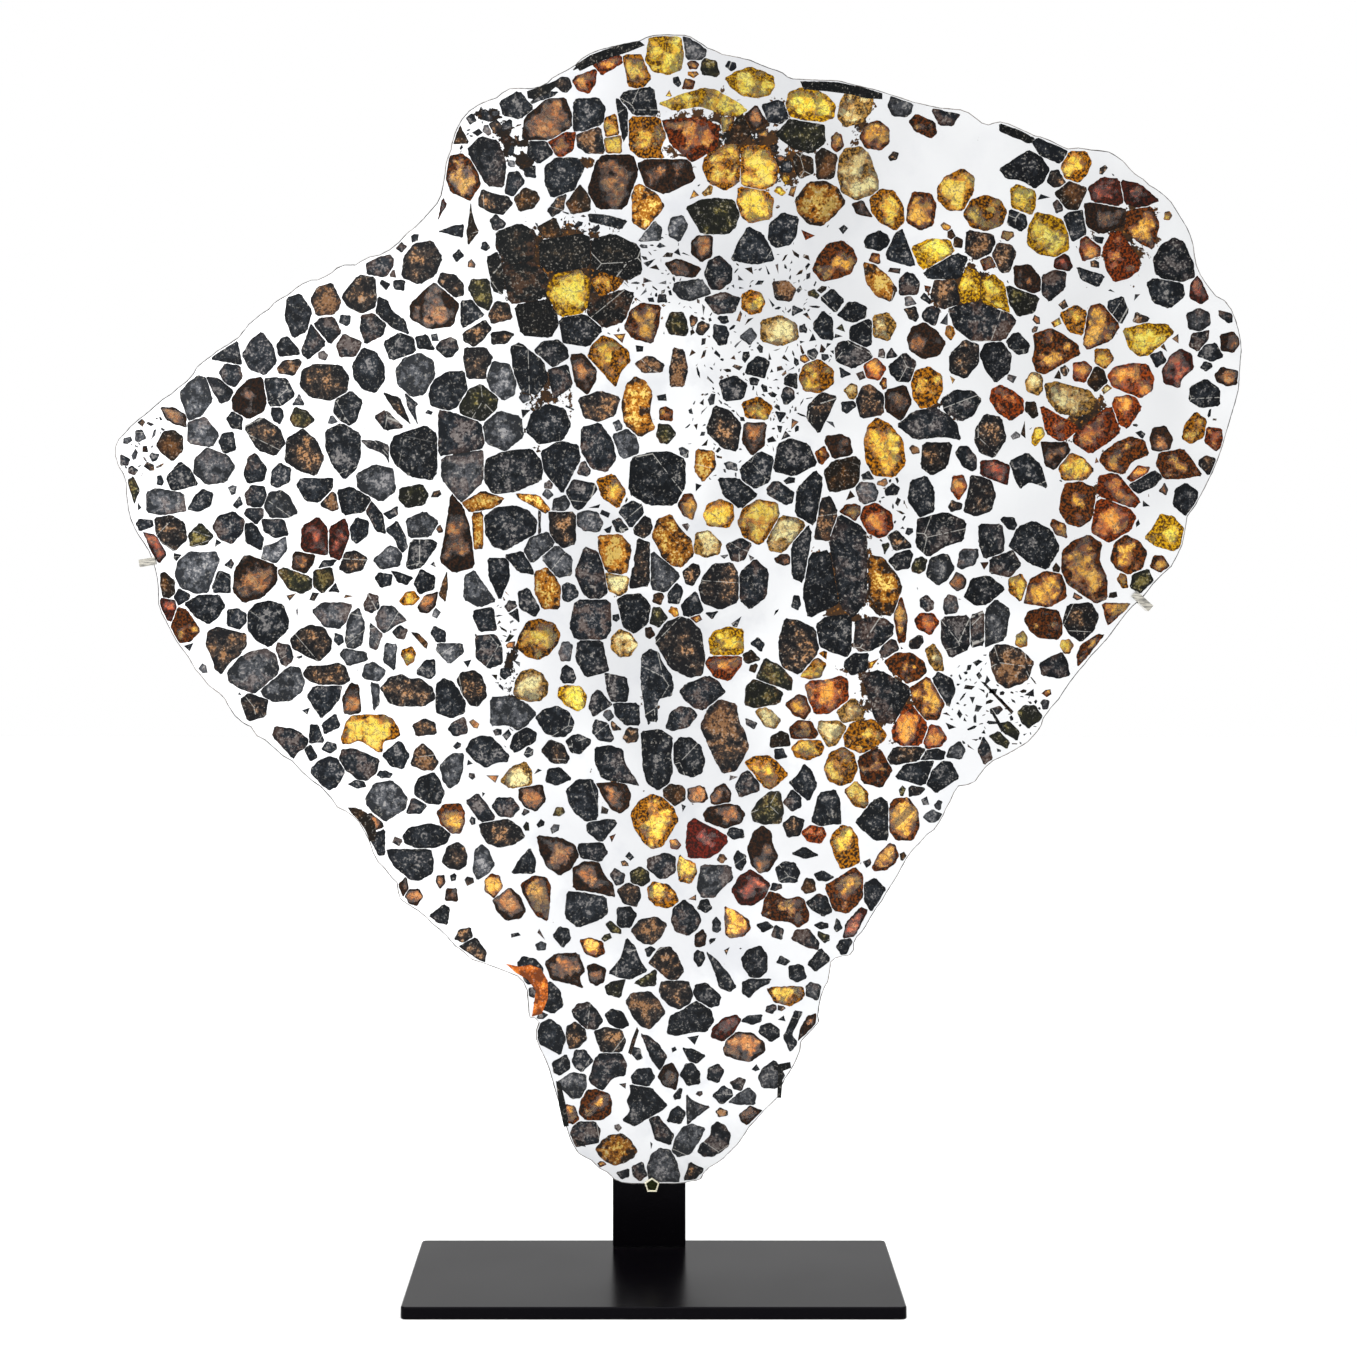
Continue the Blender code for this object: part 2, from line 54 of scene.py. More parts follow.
class Wire:
    def __init__(self, tree, socket=None):
        self.tree = tree
        self.socket = socket

    def add(self, kind, settings=None, inputs=None, output=0):
        node = self.tree.nodes.new(kind)
        for name, value in (settings or {}).items():
            if name == "stops":
                ramp = node.color_ramp
                while len(ramp.elements) < len(value):
                    ramp.elements.new(0.5)
                for element, (place, colour) in zip(ramp.elements, value):
                    element.position = place
                    element.color = (*colour, 1.0)
            else:
                setattr(node, name, value)
        for name, value in (inputs or {}).items():
            if isinstance(value, Wire):
                self.tree.links.new(value.socket, node.inputs[name])
            else:
                node.inputs[name].default_value = value
        return Wire(self.tree, node.outputs[output] if node.outputs else None)

    def math(self, operation, first, second=0.0, third=0.0, clamp=False):
        return self.add("ShaderNodeMath", {"operation": operation, "use_clamp": clamp},
                        {0: first, 1: second, 2: third})

    def __add__(self, other):
        return self.math("ADD", self, other)

    def __radd__(self, other):
        return self.math("ADD", other, self)

    def __sub__(self, other):
        return self.math("SUBTRACT", self, other)

    def __rsub__(self, other):
        return self.math("SUBTRACT", other, self)

    def __mul__(self, other):
        return self.math("MULTIPLY", self, other)

    def __rmul__(self, other):
        return self.math("MULTIPLY", other, self)

    def between(self, low, high, first=0.0, last=1.0):
        return self.add("ShaderNodeMapRange", {"interpolation_type": "SMOOTHSTEP"},
                        {"Value": self, "From Min": low, "From Max": high, "To Min": first, "To Max": last})

    def mix(self, factor, first, second, mode="MIX"):
        return self.add("ShaderNodeMix", {"data_type": "RGBA", "blend_type": mode},
                        {0: factor, 6: first, 7: second}, 2)


def newMaterial(name):
    material = bpy.data.materials.new(name)
    material.use_nodes = True
    material.node_tree.nodes.clear()
    return material, Wire(material.node_tree)


def closeMaterial(wire, shader, volume=None):
    inputs = {"Surface": shader}
    if volume:
        inputs["Volume"] = volume
    wire.add("ShaderNodeOutputMaterial", None, inputs)


def rgb(red, green, blue):
    # a colour as a picture editor shows it, turned linear
    return tuple(((c / 255 + 0.055) / 1.055) ** 2.4 if c > 10 else c / 255 / 12.92 for c in (red, green, blue))


# ---------------------------------------------------------------- outlines on the slice

sliceLow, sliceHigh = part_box("metal_matrix")
sliceFront, sliceBack = sliceLow.y, sliceHigh.y
pixel = (sliceHigh.x - sliceLow.x) / (1240 - 117)     # crystals are placed by the picture's pixels


def onSlice(column, row):
    return Vector((sliceLow.x + (column - 117) * pixel, sliceHigh.z - (row - 36) * pixel))


def area(loop):
    return sum(a.x * b.y - b.x * a.y for a, b in zip(loop, loop[1:] + loop[:1])) / 2


def middle(loop):
    total = area(loop)
    x = y = 0.0
    for a, b in zip(loop, loop[1:] + loop[:1]):
        cross = a.x * b.y - b.x * a.y
        x += (a.x + b.x) * cross
        y += (a.y + b.y) * cross
    return Vector((x, y)) / (6 * total)


def frontLoops(node):
    # outlines of a flat node's front face, turned the same way round
    work = bmesh.new()
    work.from_mesh(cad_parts[node].data)
    bmesh.ops.remove_doubles(work, verts=work.verts, dist=1e-6)
    work.normal_update()
    front = {face for face in work.faces if face.normal.y < -0.9}
    following = {}
    for face in front:
        for loop in face.loops:
            if sum(other in front for other in loop.edge.link_faces) == 1:
                following[loop.vert] = loop.link_loop_next.vert
    loops = []
    while following:
        start, vert = next(iter(following.items()))
        loop = []
        while vert in following:
            loop.append(Vector((vert.co.x, vert.co.z)))
            vert = following.pop(vert)
        loops.append(loop if area(loop) > 0 else loop[::-1])
    work.free()
    return loops


def clipped(loop, point, keep):
    kept = []
    for here, there in zip(loop, loop[1:] + loop[:1]):
        a, b = (here - point).dot(keep), (there - point).dot(keep)
        if a >= 0:
            kept.append(here)
        if (a >= 0) != (b >= 0):
            kept.append(here.lerp(there, a / (a - b)))
    return kept


def cornersCut(loop, share=0.13):
    cut = []
    for here, there in zip(loop, loop[1:] + loop[:1]):
        cut += [here.lerp(there, share), here.lerp(there, 1 - share)]
    return cut


def tidyLoop(loop, shortest):
    kept = []
    for point in loop:
        if not kept or (point - kept[-1]).length > shortest:
            kept.append(point)
    while len(kept) > 1 and (kept[0] - kept[-1]).length <= shortest:
        kept.pop()
    return kept


def grown(loop, distance):
    corners = []
    for index, corner in enumerate(loop):
        before = (corner - loop[index - 1]).normalized()
        after = (loop[(index + 1) % len(loop)] - corner).normalized()
        outBefore, outAfter = Vector((before.y, -before.x)), Vector((after.y, -after.x))
        out = (outBefore + outAfter).normalized()
        corners.append(corner + out * (distance / max(out.dot(outBefore), 0.5)))
    return corners


def pushApart(first, second, gap, holdFirst):
    # cuts two outlines along the line that parts them best
    best = None
    for step in range(36):
        axis = Vector((math.cos(step * math.pi / 18), math.sin(step * math.pi / 18)))
        reach = max(point.dot(axis) for point in first)
        start = min(point.dot(axis) for point in second)
        if best is None or reach - start < best[0]:
            best = (reach - start, axis, reach, start)
    overlap, axis, reach, start = best
    if overlap + gap <= 0:
        return first, second
    if holdFirst:
        return first, clipped(second, axis * (reach + gap), axis)
    line = (reach + start) / 2
    return clipped(first, axis * (line - gap / 2), -axis), clipped(second, axis * (line + gap / 2), axis)


def crosses(loop):
    # true where an outline runs through itself
    sides = list(zip(loop, loop[1:] + loop[:1]))
    for i, (a, b) in enumerate(sides):
        for c, d in sides[i + 2:len(sides) - (i == 0)]:
            if (((b - a).cross(c - a) > 0) != ((b - a).cross(d - a) > 0)
                    and ((d - c).cross(a - c) > 0) != ((d - c).cross(b - c) > 0)):
                return True
    return False


def hull(loop):
    return [loop[index] for index in convex_hull_2d(loop)]


# ---------------------------------------------------------------- crystals read one by one

# outline corners in the picture's pixels, column,row, grouped by look
read = {
    "umber": [
        "454,144 460,127 468,143", "515,199 525,189 536,193 539,199 533,208 520,211",
        "471,204 473,222 478,232 469,244 468,232 470,222", "569,204 580,189 588,199 588,209 573,212",
        "543,229 553,223 559,237 548,237",
        "160,445 166,434 174,433 181,438 181,450 173,458 164,451", "440,595 444,582 447,573 447,587 445,600",
        "413,633 418,634 427,643 426,647", "160,577 165,575 173,582 173,592 167,597 161,596",
    ],
    "glow": [
        "635,191 641,188 652,194 660,206 654,216 644,226 636,221 636,208",
        "468,504 485,494 499,499 493,507 474,511", "523,498 537,499 545,509 539,513 528,508",
        "477,514 488,512 489,543 479,544",
        "602,539 619,538 631,552 627,568 613,573 603,565",
        "661,523 669,520 677,533 688,543 690,552 680,562 668,560 663,546 657,536",
        "864,264 874,266 887,277 896,290 890,301 877,296 867,283", "697,450 713,452 715,467 703,481 695,470",
        "868,560 880,563 893,580 900,600 895,610 880,609 870,598 872,580", "537,575 548,571 557,588 556,605 545,605 538,590",
    ],
    "yellow": [
        "653,37 668,37 678,42 680,55 678,68 668,72 655,69 649,60 651,48",
        "552,290 562,275 575,273 586,285 587,300 575,312 562,315 554,303",
        "980,285 992,280 1003,290 1006,308 995,310 980,298",
        "958,282 968,273 980,280 980,300 965,303 958,295",
        "560,688 566,686 580,687 586,696 584,706 578,710 566,704 559,696",
        "712,640 716,634 728,630 740,632 740,650 726,656 714,654",
        "1160,515 1172,517 1183,530 1181,545 1172,550 1155,545 1145,538 1155,525",
        "917,250 930,244 946,245 950,255 930,270 922,262",
    ],
    "gold": [
        "606,123 614,120 617,133 607,135", "607,141 617,140 617,152 610,153",
        "401,601 407,593 414,592 419,598 413,604 404,604",
        "1096,351 1107,351 1111,359 1104,367 1096,362", "1012,580 1019,578 1023,585 1019,596 1012,590",
        "628,122 655,118 662,135 655,150 660,160 645,158 630,145", "624,60 638,60 646,78 640,85 628,82",
        "742,296 750,291 760,294 764,303 760,312 750,314 742,308",
        "710,155 722,148 735,150 740,163 738,178 725,186 712,180 707,168",
        "878,190 893,192 902,207 903,222 895,230 880,222 872,212 870,198", "1062,465 1070,458 1080,462 1087,470 1080,478 1066,478",
        "745,150 765,150 775,170 770,183 755,190 743,180 740,165",
        "740,185 760,186 772,200 770,218 750,222 737,212",
        "806,368 818,363 830,372 830,382 820,390 806,388 802,378",
        "745,405 758,400 769,408 765,417 748,415",
        "708,505 720,500 732,505 733,518 728,527 708,525 704,515",
        "745,510 758,502 775,505 778,520 770,535 758,542 745,535 740,522",
        "1068,153 1085,153 1090,163 1085,175 1078,182 1065,178 1061,167",
        "945,178 962,170 973,178 972,195 963,210 948,210 938,200 938,188",
        "916,372 928,368 940,376 941,390 935,402 922,409 914,398 912,384",
        "1185,425 1195,413 1205,420 1205,435 1190,443 1182,438",
        "1062,315 1075,308 1092,318 1088,335 1070,330",
        "598,283 608,274 615,283 606,293",
        "601,482 612,478 622,492 617,503 605,495",
        "792,748 800,740 816,738 824,744 820,754 808,759 796,756",
        "802,676 808,662 818,659 825,664 820,676 810,678",
        "848,730 854,722 872,724 880,734 876,742 864,748 850,742",
        "848,790 854,784 864,794 864,804 856,802",
        "680,856 684,860 694,862 696,872 690,882 680,880 678,866",
        "746,762 754,757 768,756 776,762 787,774 776,784 770,788 760,784 756,774 750,768",
    ],
    "pale": [
        "611,573 629,576 627,587 619,592 608,586 607,578", "698,535 708,533 719,544 717,552 706,555 696,551",
        "874,317 887,314 895,325 888,340 874,336",
        "848,90 862,89 872,100 870,112 862,122 845,127 838,118 841,102",
        "845,150 860,148 868,155 877,180 877,192 856,200 842,192 838,175 840,158",
        "762,322 780,317 795,325 797,338 780,345 762,340",
        "778,518 800,522 803,532 792,542 785,550 772,548 768,535",
        "506,780 514,770 524,766 528,772 528,784 514,786",
        "612,638 620,630 630,634 637,644 630,655 620,656 612,648",
        "758,712 762,708 770,712 778,720 774,726 766,724",
        "842,710 850,703 858,712 856,720 848,722",
        "926,650 933,645 940,656 942,670 936,670 930,662",
        "820,722 840,722 848,730 840,742 824,746 818,734",
    ],
    "orange": [
        "578,82 583,75 592,74 591,83 587,89 581,87", "597,68 604,60 614,57 619,61 611,66 601,72",
        "553,140 563,133 571,135 569,148 561,153 554,148",
        "867,367 875,362 882,369 877,377 869,375", "1129,478 1138,468 1146,469 1143,476 1133,481",
        "953,477 962,476 966,487 958,499 951,490",
        "668,125 700,122 715,130 712,150 690,158 672,140",
        "992,390 1000,386 1012,392 1022,400 1022,412 1010,420 998,412 990,400",
        "1080,420 1100,405 1115,408 1120,425 1105,438 1090,448 1078,440",
        "1045,410 1060,418 1072,430 1060,436 1050,430",
        "1118,402 1130,400 1135,408 1125,422 1113,415",
        "1102,480 1115,477 1125,488 1135,500 1128,507 1112,500 1101,495",
        "1098,506 1108,501 1122,508 1130,518 1125,530 1108,537 1096,530 1094,518",
        "1205,428 1220,430 1221,445 1215,450 1202,440",
        "802,832 810,826 822,827 825,834 820,842 808,840",
        "709,663 714,656 738,655 738,664 728,677 716,674",
        "896,720 902,710 916,710 926,722 920,742 906,742 898,736",
        "923,736 928,726 938,728 944,738 938,746 928,748",
        "915,620 920,614 932,614 938,622 930,634 918,628",
    ],
    "amber": [
        "626,315 642,304 660,307 658,325 652,343 633,338 623,325",
        "865,126 878,122 888,130 888,143 880,150 866,148 860,138",
        "828,245 842,242 852,250 856,260 850,273 840,277 822,281 813,270 818,258",
        "913,193 930,195 935,205 932,225 920,230 907,222 908,208",
        "1130,215 1148,210 1155,225 1150,245 1140,240 1126,228",
        "1160,450 1180,447 1190,460 1200,475 1180,478 1162,478 1156,465",
        "1032,582 1045,575 1060,578 1062,595 1045,605 1028,600",
        "1082,312 1105,306 1118,322 1108,338 1088,346 1080,335",
        "174,629 179,610 186,612 198,630 190,639 180,640 175,636",
        "449,158 462,155 475,165 480,185 470,200 452,192 446,175",
        "438,812 444,805 460,804 464,812 464,822 460,832 452,832 442,824",
        "486,880 492,874 499,876 502,886 494,896 486,890",
        "522,884 534,876 546,878 550,886 549,904 547,919 538,915 532,906 524,892",
        "581,940 590,938 602,942 604,952 596,956 586,952",
        "580,1112 582,1100 588,1090 598,1089 608,1092 611,1102 610,1112 602,1118 586,1118",
        "762,914 765,900 769,892 778,894 786,900 798,897 804,900 808,912 807,920 798,926 790,920 774,919",
        "860,758 870,750 886,754 892,764 886,774 880,784 864,780",
        "786,704 798,695 808,698 810,710 804,718 794,714",
        "790,728 798,721 812,722 818,732 812,740 792,738",
        "1105,606 1130,606 1118,622 1112,628 1108,618",
        "1078,656 1082,646 1098,636 1106,637 1090,654 1079,669",
        "916,690 928,682 936,690 938,704 934,714 922,714",
        "892,828 890,810 896,802 906,801 914,812 915,826 910,836 898,836",
        "826,888 840,880 854,871 861,878 861,892 854,902 846,909 832,906",
        "888,602 900,600 905,618 903,640 890,642 886,620",
    ],
    "brown": [
        "296,556 301,550 314,551 311,563 304,572 295,568", "419,607 426,596 437,593 435,605 428,612 421,611",
        "165,410 174,410 185,417 187,425 176,422 169,418",
        "572,357 587,355 595,365 594,380 587,392 577,384 574,367",
        "666,264 678,260 700,269 694,277 674,275", "888,393 903,389 908,402 900,417 888,409",
        "747,426 763,426 761,444 753,452 745,441", "1016,269 1028,268 1036,278 1039,288 1026,293 1017,283",
        "1220,336 1232,333 1239,342 1232,352 1221,350", "1153,429 1164,427 1171,439 1167,452 1152,449 1150,439",
        "1045,446 1063,445 1067,454 1056,467 1048,463",
        "640,168 660,158 685,160 690,178 665,190 645,182",
        "600,165 610,155 630,155 637,170 630,190 625,205 600,205 592,192",
        "1088,208 1105,205 1120,210 1120,228 1105,233 1090,224",
        "240,392 250,382 262,380 267,395 262,410 248,417 236,410 235,400",
        "453,495 460,505 468,530 472,565 455,570 443,560 448,535",
        "412,305 428,290 436,284 458,305 452,325 430,328 412,318",
        "530,120 545,105 562,104 570,125 560,135 545,140 528,135",
        "352,684 358,686 360,710 356,714 346,712 344,698",
        "704,814 710,806 720,803 738,806 744,814 740,822 728,828 716,824 706,820",
        "711,796 716,788 724,784 730,792 729,802 720,805 712,802",
        "538,836 560,838 576,846 579,854 570,868 560,874 548,866 541,852",
        "574,868 584,862 598,862 604,876 612,884 614,896 602,892 574,888",
        "598,784 624,782 630,794 628,806 620,812 612,808 604,796",
        "748,848 754,832 762,826 770,832 772,846 777,856 768,870 760,872 752,864",
        "659,1076 664,1066 672,1063 678,1074 675,1088 664,1084",
        "724,1048 728,1038 736,1032 752,1033 763,1042 764,1050 750,1060 738,1058 726,1054",
        "797,1040 800,1030 808,1016 815,1014 818,1020 810,1028 800,1036",
        "740,1114 750,1106 760,1110 749,1124 742,1120",
        "546,962 556,954 578,953 584,970 578,976 582,986 570,982 552,978",
        "238,570 247,557 262,562 277,565 276,580 262,595 245,600 236,590",
        "520,788 530,784 542,786 545,800 536,810 526,806 520,798",
        "494,900 510,888 520,897 525,910 520,917 507,919 498,910",
    ],
    "red": [
        "161,606 165,599 173,601 175,610 171,618 164,616",
        "982,463 995,462 1007,467 1005,482 993,480 982,475",
        "1092,190 1103,182 1120,184 1122,198 1110,206 1096,202",
        "1120,184 1138,188 1152,200 1140,205 1122,200",
        "1192,285 1198,278 1212,293 1200,302 1191,297",
        "1168,358 1180,350 1190,355 1192,368 1180,378 1178,387 1164,383 1162,370",
        "305,528 318,520 328,532 326,552 312,556 304,546",
        "330,530 344,522 352,540 344,560 332,556",
        "732,890 740,876 750,870 760,876 769,884 764,896 752,904 740,903",
        "846,935 848,924 861,910 870,914 864,928 854,934",
        "712,1036 713,1028 724,1018 736,1015 741,1020 732,1032 724,1040",
        "148,536 158,538 166,552 160,560 152,552",
        "433,205 441,196 446,205 436,222 428,226",
    ],
    "olive": [
        "470,289 473,281 493,281 494,294 488,309 478,304",
        "190,537 201,526 211,536 206,542 192,544", "281,572 287,569 301,574 310,578 311,586 302,591 291,587",
        "315,573 318,569 330,569 332,581 323,590 315,584", "293,419 297,410 306,413 312,420 304,426 296,424",
        "401,489 422,485 428,495 424,504 407,507 400,499",
        "1007,287 1019,288 1036,296 1031,310 1019,313 1011,301", "1134,575 1146,571 1151,583 1142,592 1132,586",
        "778,135 790,122 810,121 822,128 823,142 810,152 792,146",
        "468,392 485,385 497,395 495,408 482,420 463,415 461,403",
        "631,872 640,867 648,872 649,880 642,885 632,882",
        "607,924 612,920 620,926 620,932 612,931",
        "636,982 656,969 655,984 642,985",
        "606,986 612,982 624,980 620,996 608,993",
        "760,676 766,662 778,668 789,680 788,688 776,684",
        "749,688 754,683 768,686 779,694 776,702 760,706 748,702",
        "752,812 758,802 770,792 780,792 783,810 780,822 764,823 754,820",
        "1018,712 1024,706 1034,706 1042,718 1034,722 1028,727 1022,722",
        "1000,724 1008,722 1018,732 1016,739 1004,732",
        "990,736 998,732 1008,742 1006,747 996,742",
        "127,484 133,480 138,490 134,500 129,498",
    ],
    "mixed": [
        "480,199 483,191 496,196 508,198 512,204 503,214 493,213 480,206", "549,211 559,198 565,196 563,209 553,216",
        "439,282 442,274 455,276 463,285 463,295 455,297 445,290", "581,135 601,126 605,150 589,150 582,145",
        "464,334 485,321 491,329 482,340 474,346 465,341", "492,334 505,332 513,335 506,343 493,344",
        "466,348 485,348 493,359 486,369 485,378 467,378 464,363", "582,400 598,394 616,400 612,413 598,418 587,415",
        "553,516 572,516 572,541 560,545 554,535", "341,556 355,553 365,559 361,568 348,571 341,567",
        "385,394 399,399 403,409 410,423 397,411",
        "637,543 645,546 648,565 650,581 634,583 632,576 640,568", "773,283 787,282 795,290 790,301 776,299",
        "674,349 683,351 687,370 683,386 671,386 670,370", "715,407 729,412 740,425 736,450 723,447 707,431",
        "822,396 832,399 826,412 818,428 810,418 811,407", "976,429 985,415 1000,418 1005,439 993,457 980,452 975,441",
        "972,478 988,480 993,495 989,509 975,514 965,510 970,492",
        "706,578 715,567 730,566 738,580 738,598 720,606 705,600 702,588",
        "950,355 965,340 977,345 978,362 965,378 950,372",
        "305,372 315,367 340,368 347,378 345,392 330,398 312,395 303,385",
        "290,440 303,432 315,442 322,458 315,473 300,468 288,460",
        "158,520 170,517 184,525 187,537 175,548 160,538",
        "415,245 432,242 442,258 435,275 420,284 403,277 405,258",
        "345,297 360,278 373,280 375,305 362,311 350,305",
        "306,674 310,668 326,668 338,665 344,668 348,679 340,684 326,684 312,679",
        "382,688 390,678 402,675 410,680 420,679 432,688 435,698 424,705 400,705 390,702",
        "458,680 462,673 474,671 481,676 485,686 486,696 478,705 471,704 464,694",
        "412,764 416,750 423,744 432,752 438,762 433,769 424,769",
        "480,822 502,817 512,822 520,828 524,836 514,843 499,846 488,842 482,832",
        "658,640 668,625 680,620 688,622 698,632 702,660 700,672 690,674 672,665",
        "703,726 710,710 720,702 734,706 736,722 742,732 746,746 740,758 734,768 724,770 718,760 710,742",
        "786,620 798,622 814,630 820,640 820,652 810,660 802,674 784,666 781,658 780,640",
        "890,760 896,750 918,748 924,750 920,758 902,761",
        "618,890 628,883 638,886 640,896 636,905 624,902",
        "632,930 640,920 656,917 666,924 660,936 652,943 644,942 638,938",
        "650,962 660,948 670,947 676,954 683,970 676,979 662,976 652,968",
        "662,982 674,980 688,982 692,994 688,1004 680,1008 670,1004 662,996 660,990",
        "567,1036 568,1026 575,1022 584,1028 586,1038 578,1046 570,1047",
        "595,1030 608,1026 620,1028 625,1040 620,1052 602,1051 598,1040",
        "685,1178 690,1162 702,1168 701,1177",
        "1066,622 1070,608 1088,606 1094,616 1090,628 1080,637 1072,632",
        "938,285 955,280 960,300 945,306 935,296",
        "244,700 252,694 266,700 264,714 250,718",
        "812,505 828,500 836,516 830,538 816,536",
        "248,428 262,420 278,430 283,443 275,453 260,448",
        "456,938 460,930 470,928 472,936 464,941",
        "460,946 476,938 486,952 484,961 470,956",
        "783,824 792,816 803,820 800,834 788,836",
    ],
    "grey": [
        "640,241 654,222 661,229 660,240", "669,229 672,219 682,217 687,226 679,241 670,236",
        "267,506 270,495 281,493 288,498 295,512 283,517 273,516", "264,549 276,546 284,541 285,549 276,560 265,559",
        "316,611 324,605 342,605 351,607 348,616 339,626 326,624",
        "377,618 382,607 393,607 405,620 395,624 385,632 379,626",
        "493,363 508,366 515,382 513,394 501,400 495,396 489,380", "528,551 533,541 547,535 552,543 537,558 531,558",
        "543,558 558,547 569,556 568,572 556,574", "467,577 474,573 482,585 493,600 480,605 466,598",
        "375,560 390,547 402,551 399,565 382,568",
        "651,552 661,559 671,568 674,576 664,587 651,584 650,568", "1187,315 1198,310 1207,314 1208,324 1199,330 1189,328",
        "230,668 236,662 252,654 266,651 274,656 277,668 274,678 264,682 258,690 252,692 242,686 232,680",
        "263,688 272,680 284,674 290,669 300,670 303,680 300,690 290,698 274,699 266,694",
        "367,798 375,784 392,781 400,788 407,798 405,808 392,816 386,820 374,811 368,804",
        "358,475 375,466 392,470 395,490 380,502 360,492",
        "405,360 420,355 432,362 434,378 425,393 412,395 400,385 398,370",
        "485,428 500,415 518,420 520,435 505,447 488,440",
        "442,455 460,448 478,455 480,478 462,495 445,478",
        "407,520 425,512 438,522 430,536 410,537",
        "441,766 448,758 454,754 463,754 462,770 458,782 450,787 444,780",
        "474,870 476,850 482,845 488,850 494,864 488,872 478,878",
        "496,702 510,701 522,706 532,716 518,724 510,719 496,720",
        "947,756 950,748 959,742 964,750 960,758",
        "730,1101 740,1092 748,1087 755,1094 754,1103 740,1103",
        "673,1150 676,1138 684,1126 692,1124 704,1128 698,1140 690,1152 678,1155",
        "648,1166 652,1154 660,1148 670,1150 676,1162 679,1174 678,1180 650,1180",
        "686,1094 694,1102 708,1106 700,1112 688,1122",
        "699,880 702,865 730,866 732,878 720,888 714,896 702,896 698,888",
        "150,494 160,490 182,495 184,510 166,513 150,510",
        "183,388 198,378 205,380 211,400 200,415 190,418 184,402",
        "198,460 210,449 225,455 233,467 225,480 208,482 197,472",
        "188,425 205,420 217,435 210,447 190,442",
        "984,618 996,606 1004,612 1000,636 988,640",
    ],
    "black": [
        "500,232 516,226 532,234 530,256 514,264 500,252",
        "545,240 570,236 590,244 588,266 565,270 546,262",
        "592,246 612,240 634,250 636,270 618,280 594,272",
        "520,304 545,302 556,318 548,332 526,330",
        "590,302 612,292 630,298 624,316 600,324 588,314",
        "486,262 498,256 504,268 500,290 490,286",
        "504,268 526,264 544,280 540,300 520,304 508,290",
    ],
    "dark": [
        "549,169 559,161 576,163 580,169 571,188 554,194 549,183", "534,143 544,143 549,151 539,158 533,153",
        "574,111 579,104 596,103 602,111 601,123 593,130 574,130", "491,221 496,216 505,224 501,231 494,229",
        "440,232 455,227 463,226 462,237 455,235", "590,216 606,217 625,222 621,228 604,224 591,221",
        "454,256 459,251 463,256 457,261", "621,105 627,106 628,116 629,125 623,136 621,125",
        "216,527 221,518 235,514 244,520 241,531 232,541 222,537", "192,508 198,497 204,492 211,495 209,504 199,509",
        "170,478 181,465 189,471 195,483 184,486 174,488", "222,442 225,436 232,435 234,448 226,451",
        "274,483 275,472 281,466 289,470 288,480 278,485", "248,495 253,488 263,489 265,498 259,506 250,503",
        "246,518 250,509 262,509 262,517 254,525", "248,526 254,525 258,534 264,542 263,548 249,541",
        "265,520 278,520 283,523 286,534 276,535 267,530", "321,569 325,563 333,562 329,567",
        "351,531 358,520 367,523 366,534 357,541 352,537", "377,578 380,574 391,576 390,584 382,586",
        "393,572 398,573 412,578 407,584 398,581", "366,604 370,595 377,597 378,607 372,611 367,609",
        "394,632 400,626 407,630 404,638 398,637",
        "187,602 194,598 218,597 223,606 216,616 209,621 198,615", "177,597 181,590 188,595 186,601 180,602",
        "432,633 435,627 445,632 445,643 438,642", "222,373 227,366 239,368 241,377 235,385 227,382",
        "211,380 220,381 232,391 228,399 222,401 216,391", "268,404 266,381 276,380 286,381 293,395 281,404",
        "230,419 234,414 241,418 240,427 234,426",
        "364,318 374,316 384,325 381,334 367,341 363,329", "379,300 386,303 390,313 403,322 406,331 392,325 377,310",
        "462,302 472,301 478,309 484,315 464,327 462,323", "533,354 543,343 558,341 567,350 568,357 554,366 545,364",
        "441,415 462,419 478,426 481,438 474,453 462,445 441,459", "526,509 536,511 536,530 528,538",
        "509,558 522,555 529,570 518,568", "492,562 505,562 506,577 500,593 493,577",
        "367,510 372,504 384,518 386,532 378,530", "387,530 397,522 405,537 407,547 401,553 397,539",
        "386,514 397,508 397,514 390,518", "363,441 378,442 390,447 391,465 385,453 369,447",
        "376,417 386,411 403,427 386,430", "406,394 417,404 414,407 418,424 409,407", "418,339 426,337 432,348 420,347",
        "587,552 600,557 603,568 608,578 603,591 595,597 587,591 579,573", "705,299 723,293 739,299 734,312 716,314",
        "821,299 832,290 843,301 835,312", "774,450 790,442 806,447 813,463 793,473 771,467",
        "1040,278 1054,272 1064,274 1063,288 1049,300 1040,291", "1081,272 1099,278 1096,283 1083,277",
        "1111,304 1120,301 1124,311 1119,320 1110,314", "1192,334 1207,332 1206,343 1199,352 1189,346",
        "1201,347 1215,344 1222,356 1211,361 1198,356", "1151,356 1160,353 1164,361 1156,366",
        "1132,481 1153,472 1160,477 1153,485 1138,492 1130,487",
        "1012,464 1026,457 1037,467 1042,483 1028,477 1021,483 1016,475", "982,528 998,528 1000,541 999,554 988,559 982,543",
        "993,556 1010,554 1016,564 1008,573 993,570",
        "527,92 540,90 549,85 556,80 558,88 548,97 532,101",
        "576,68 590,57 606,51 622,47 634,45 628,52 606,58 590,66 580,74",
        "800,83 838,84 862,90 880,95 882,100 866,98 850,94 826,90 803,88",
        "1000,126 1016,131 1034,140 1030,144 1012,136 1000,131",
        "628,95 650,90 665,92 668,108 660,116 632,116 622,104",
        "748,228 762,235 770,250 773,260 755,264 732,260 738,245",
        "1000,170 1015,160 1028,152 1040,158 1048,170 1042,182 1034,188 1022,180 1006,178",
        "1032,142 1040,139 1066,149 1064,158 1058,163 1040,155",
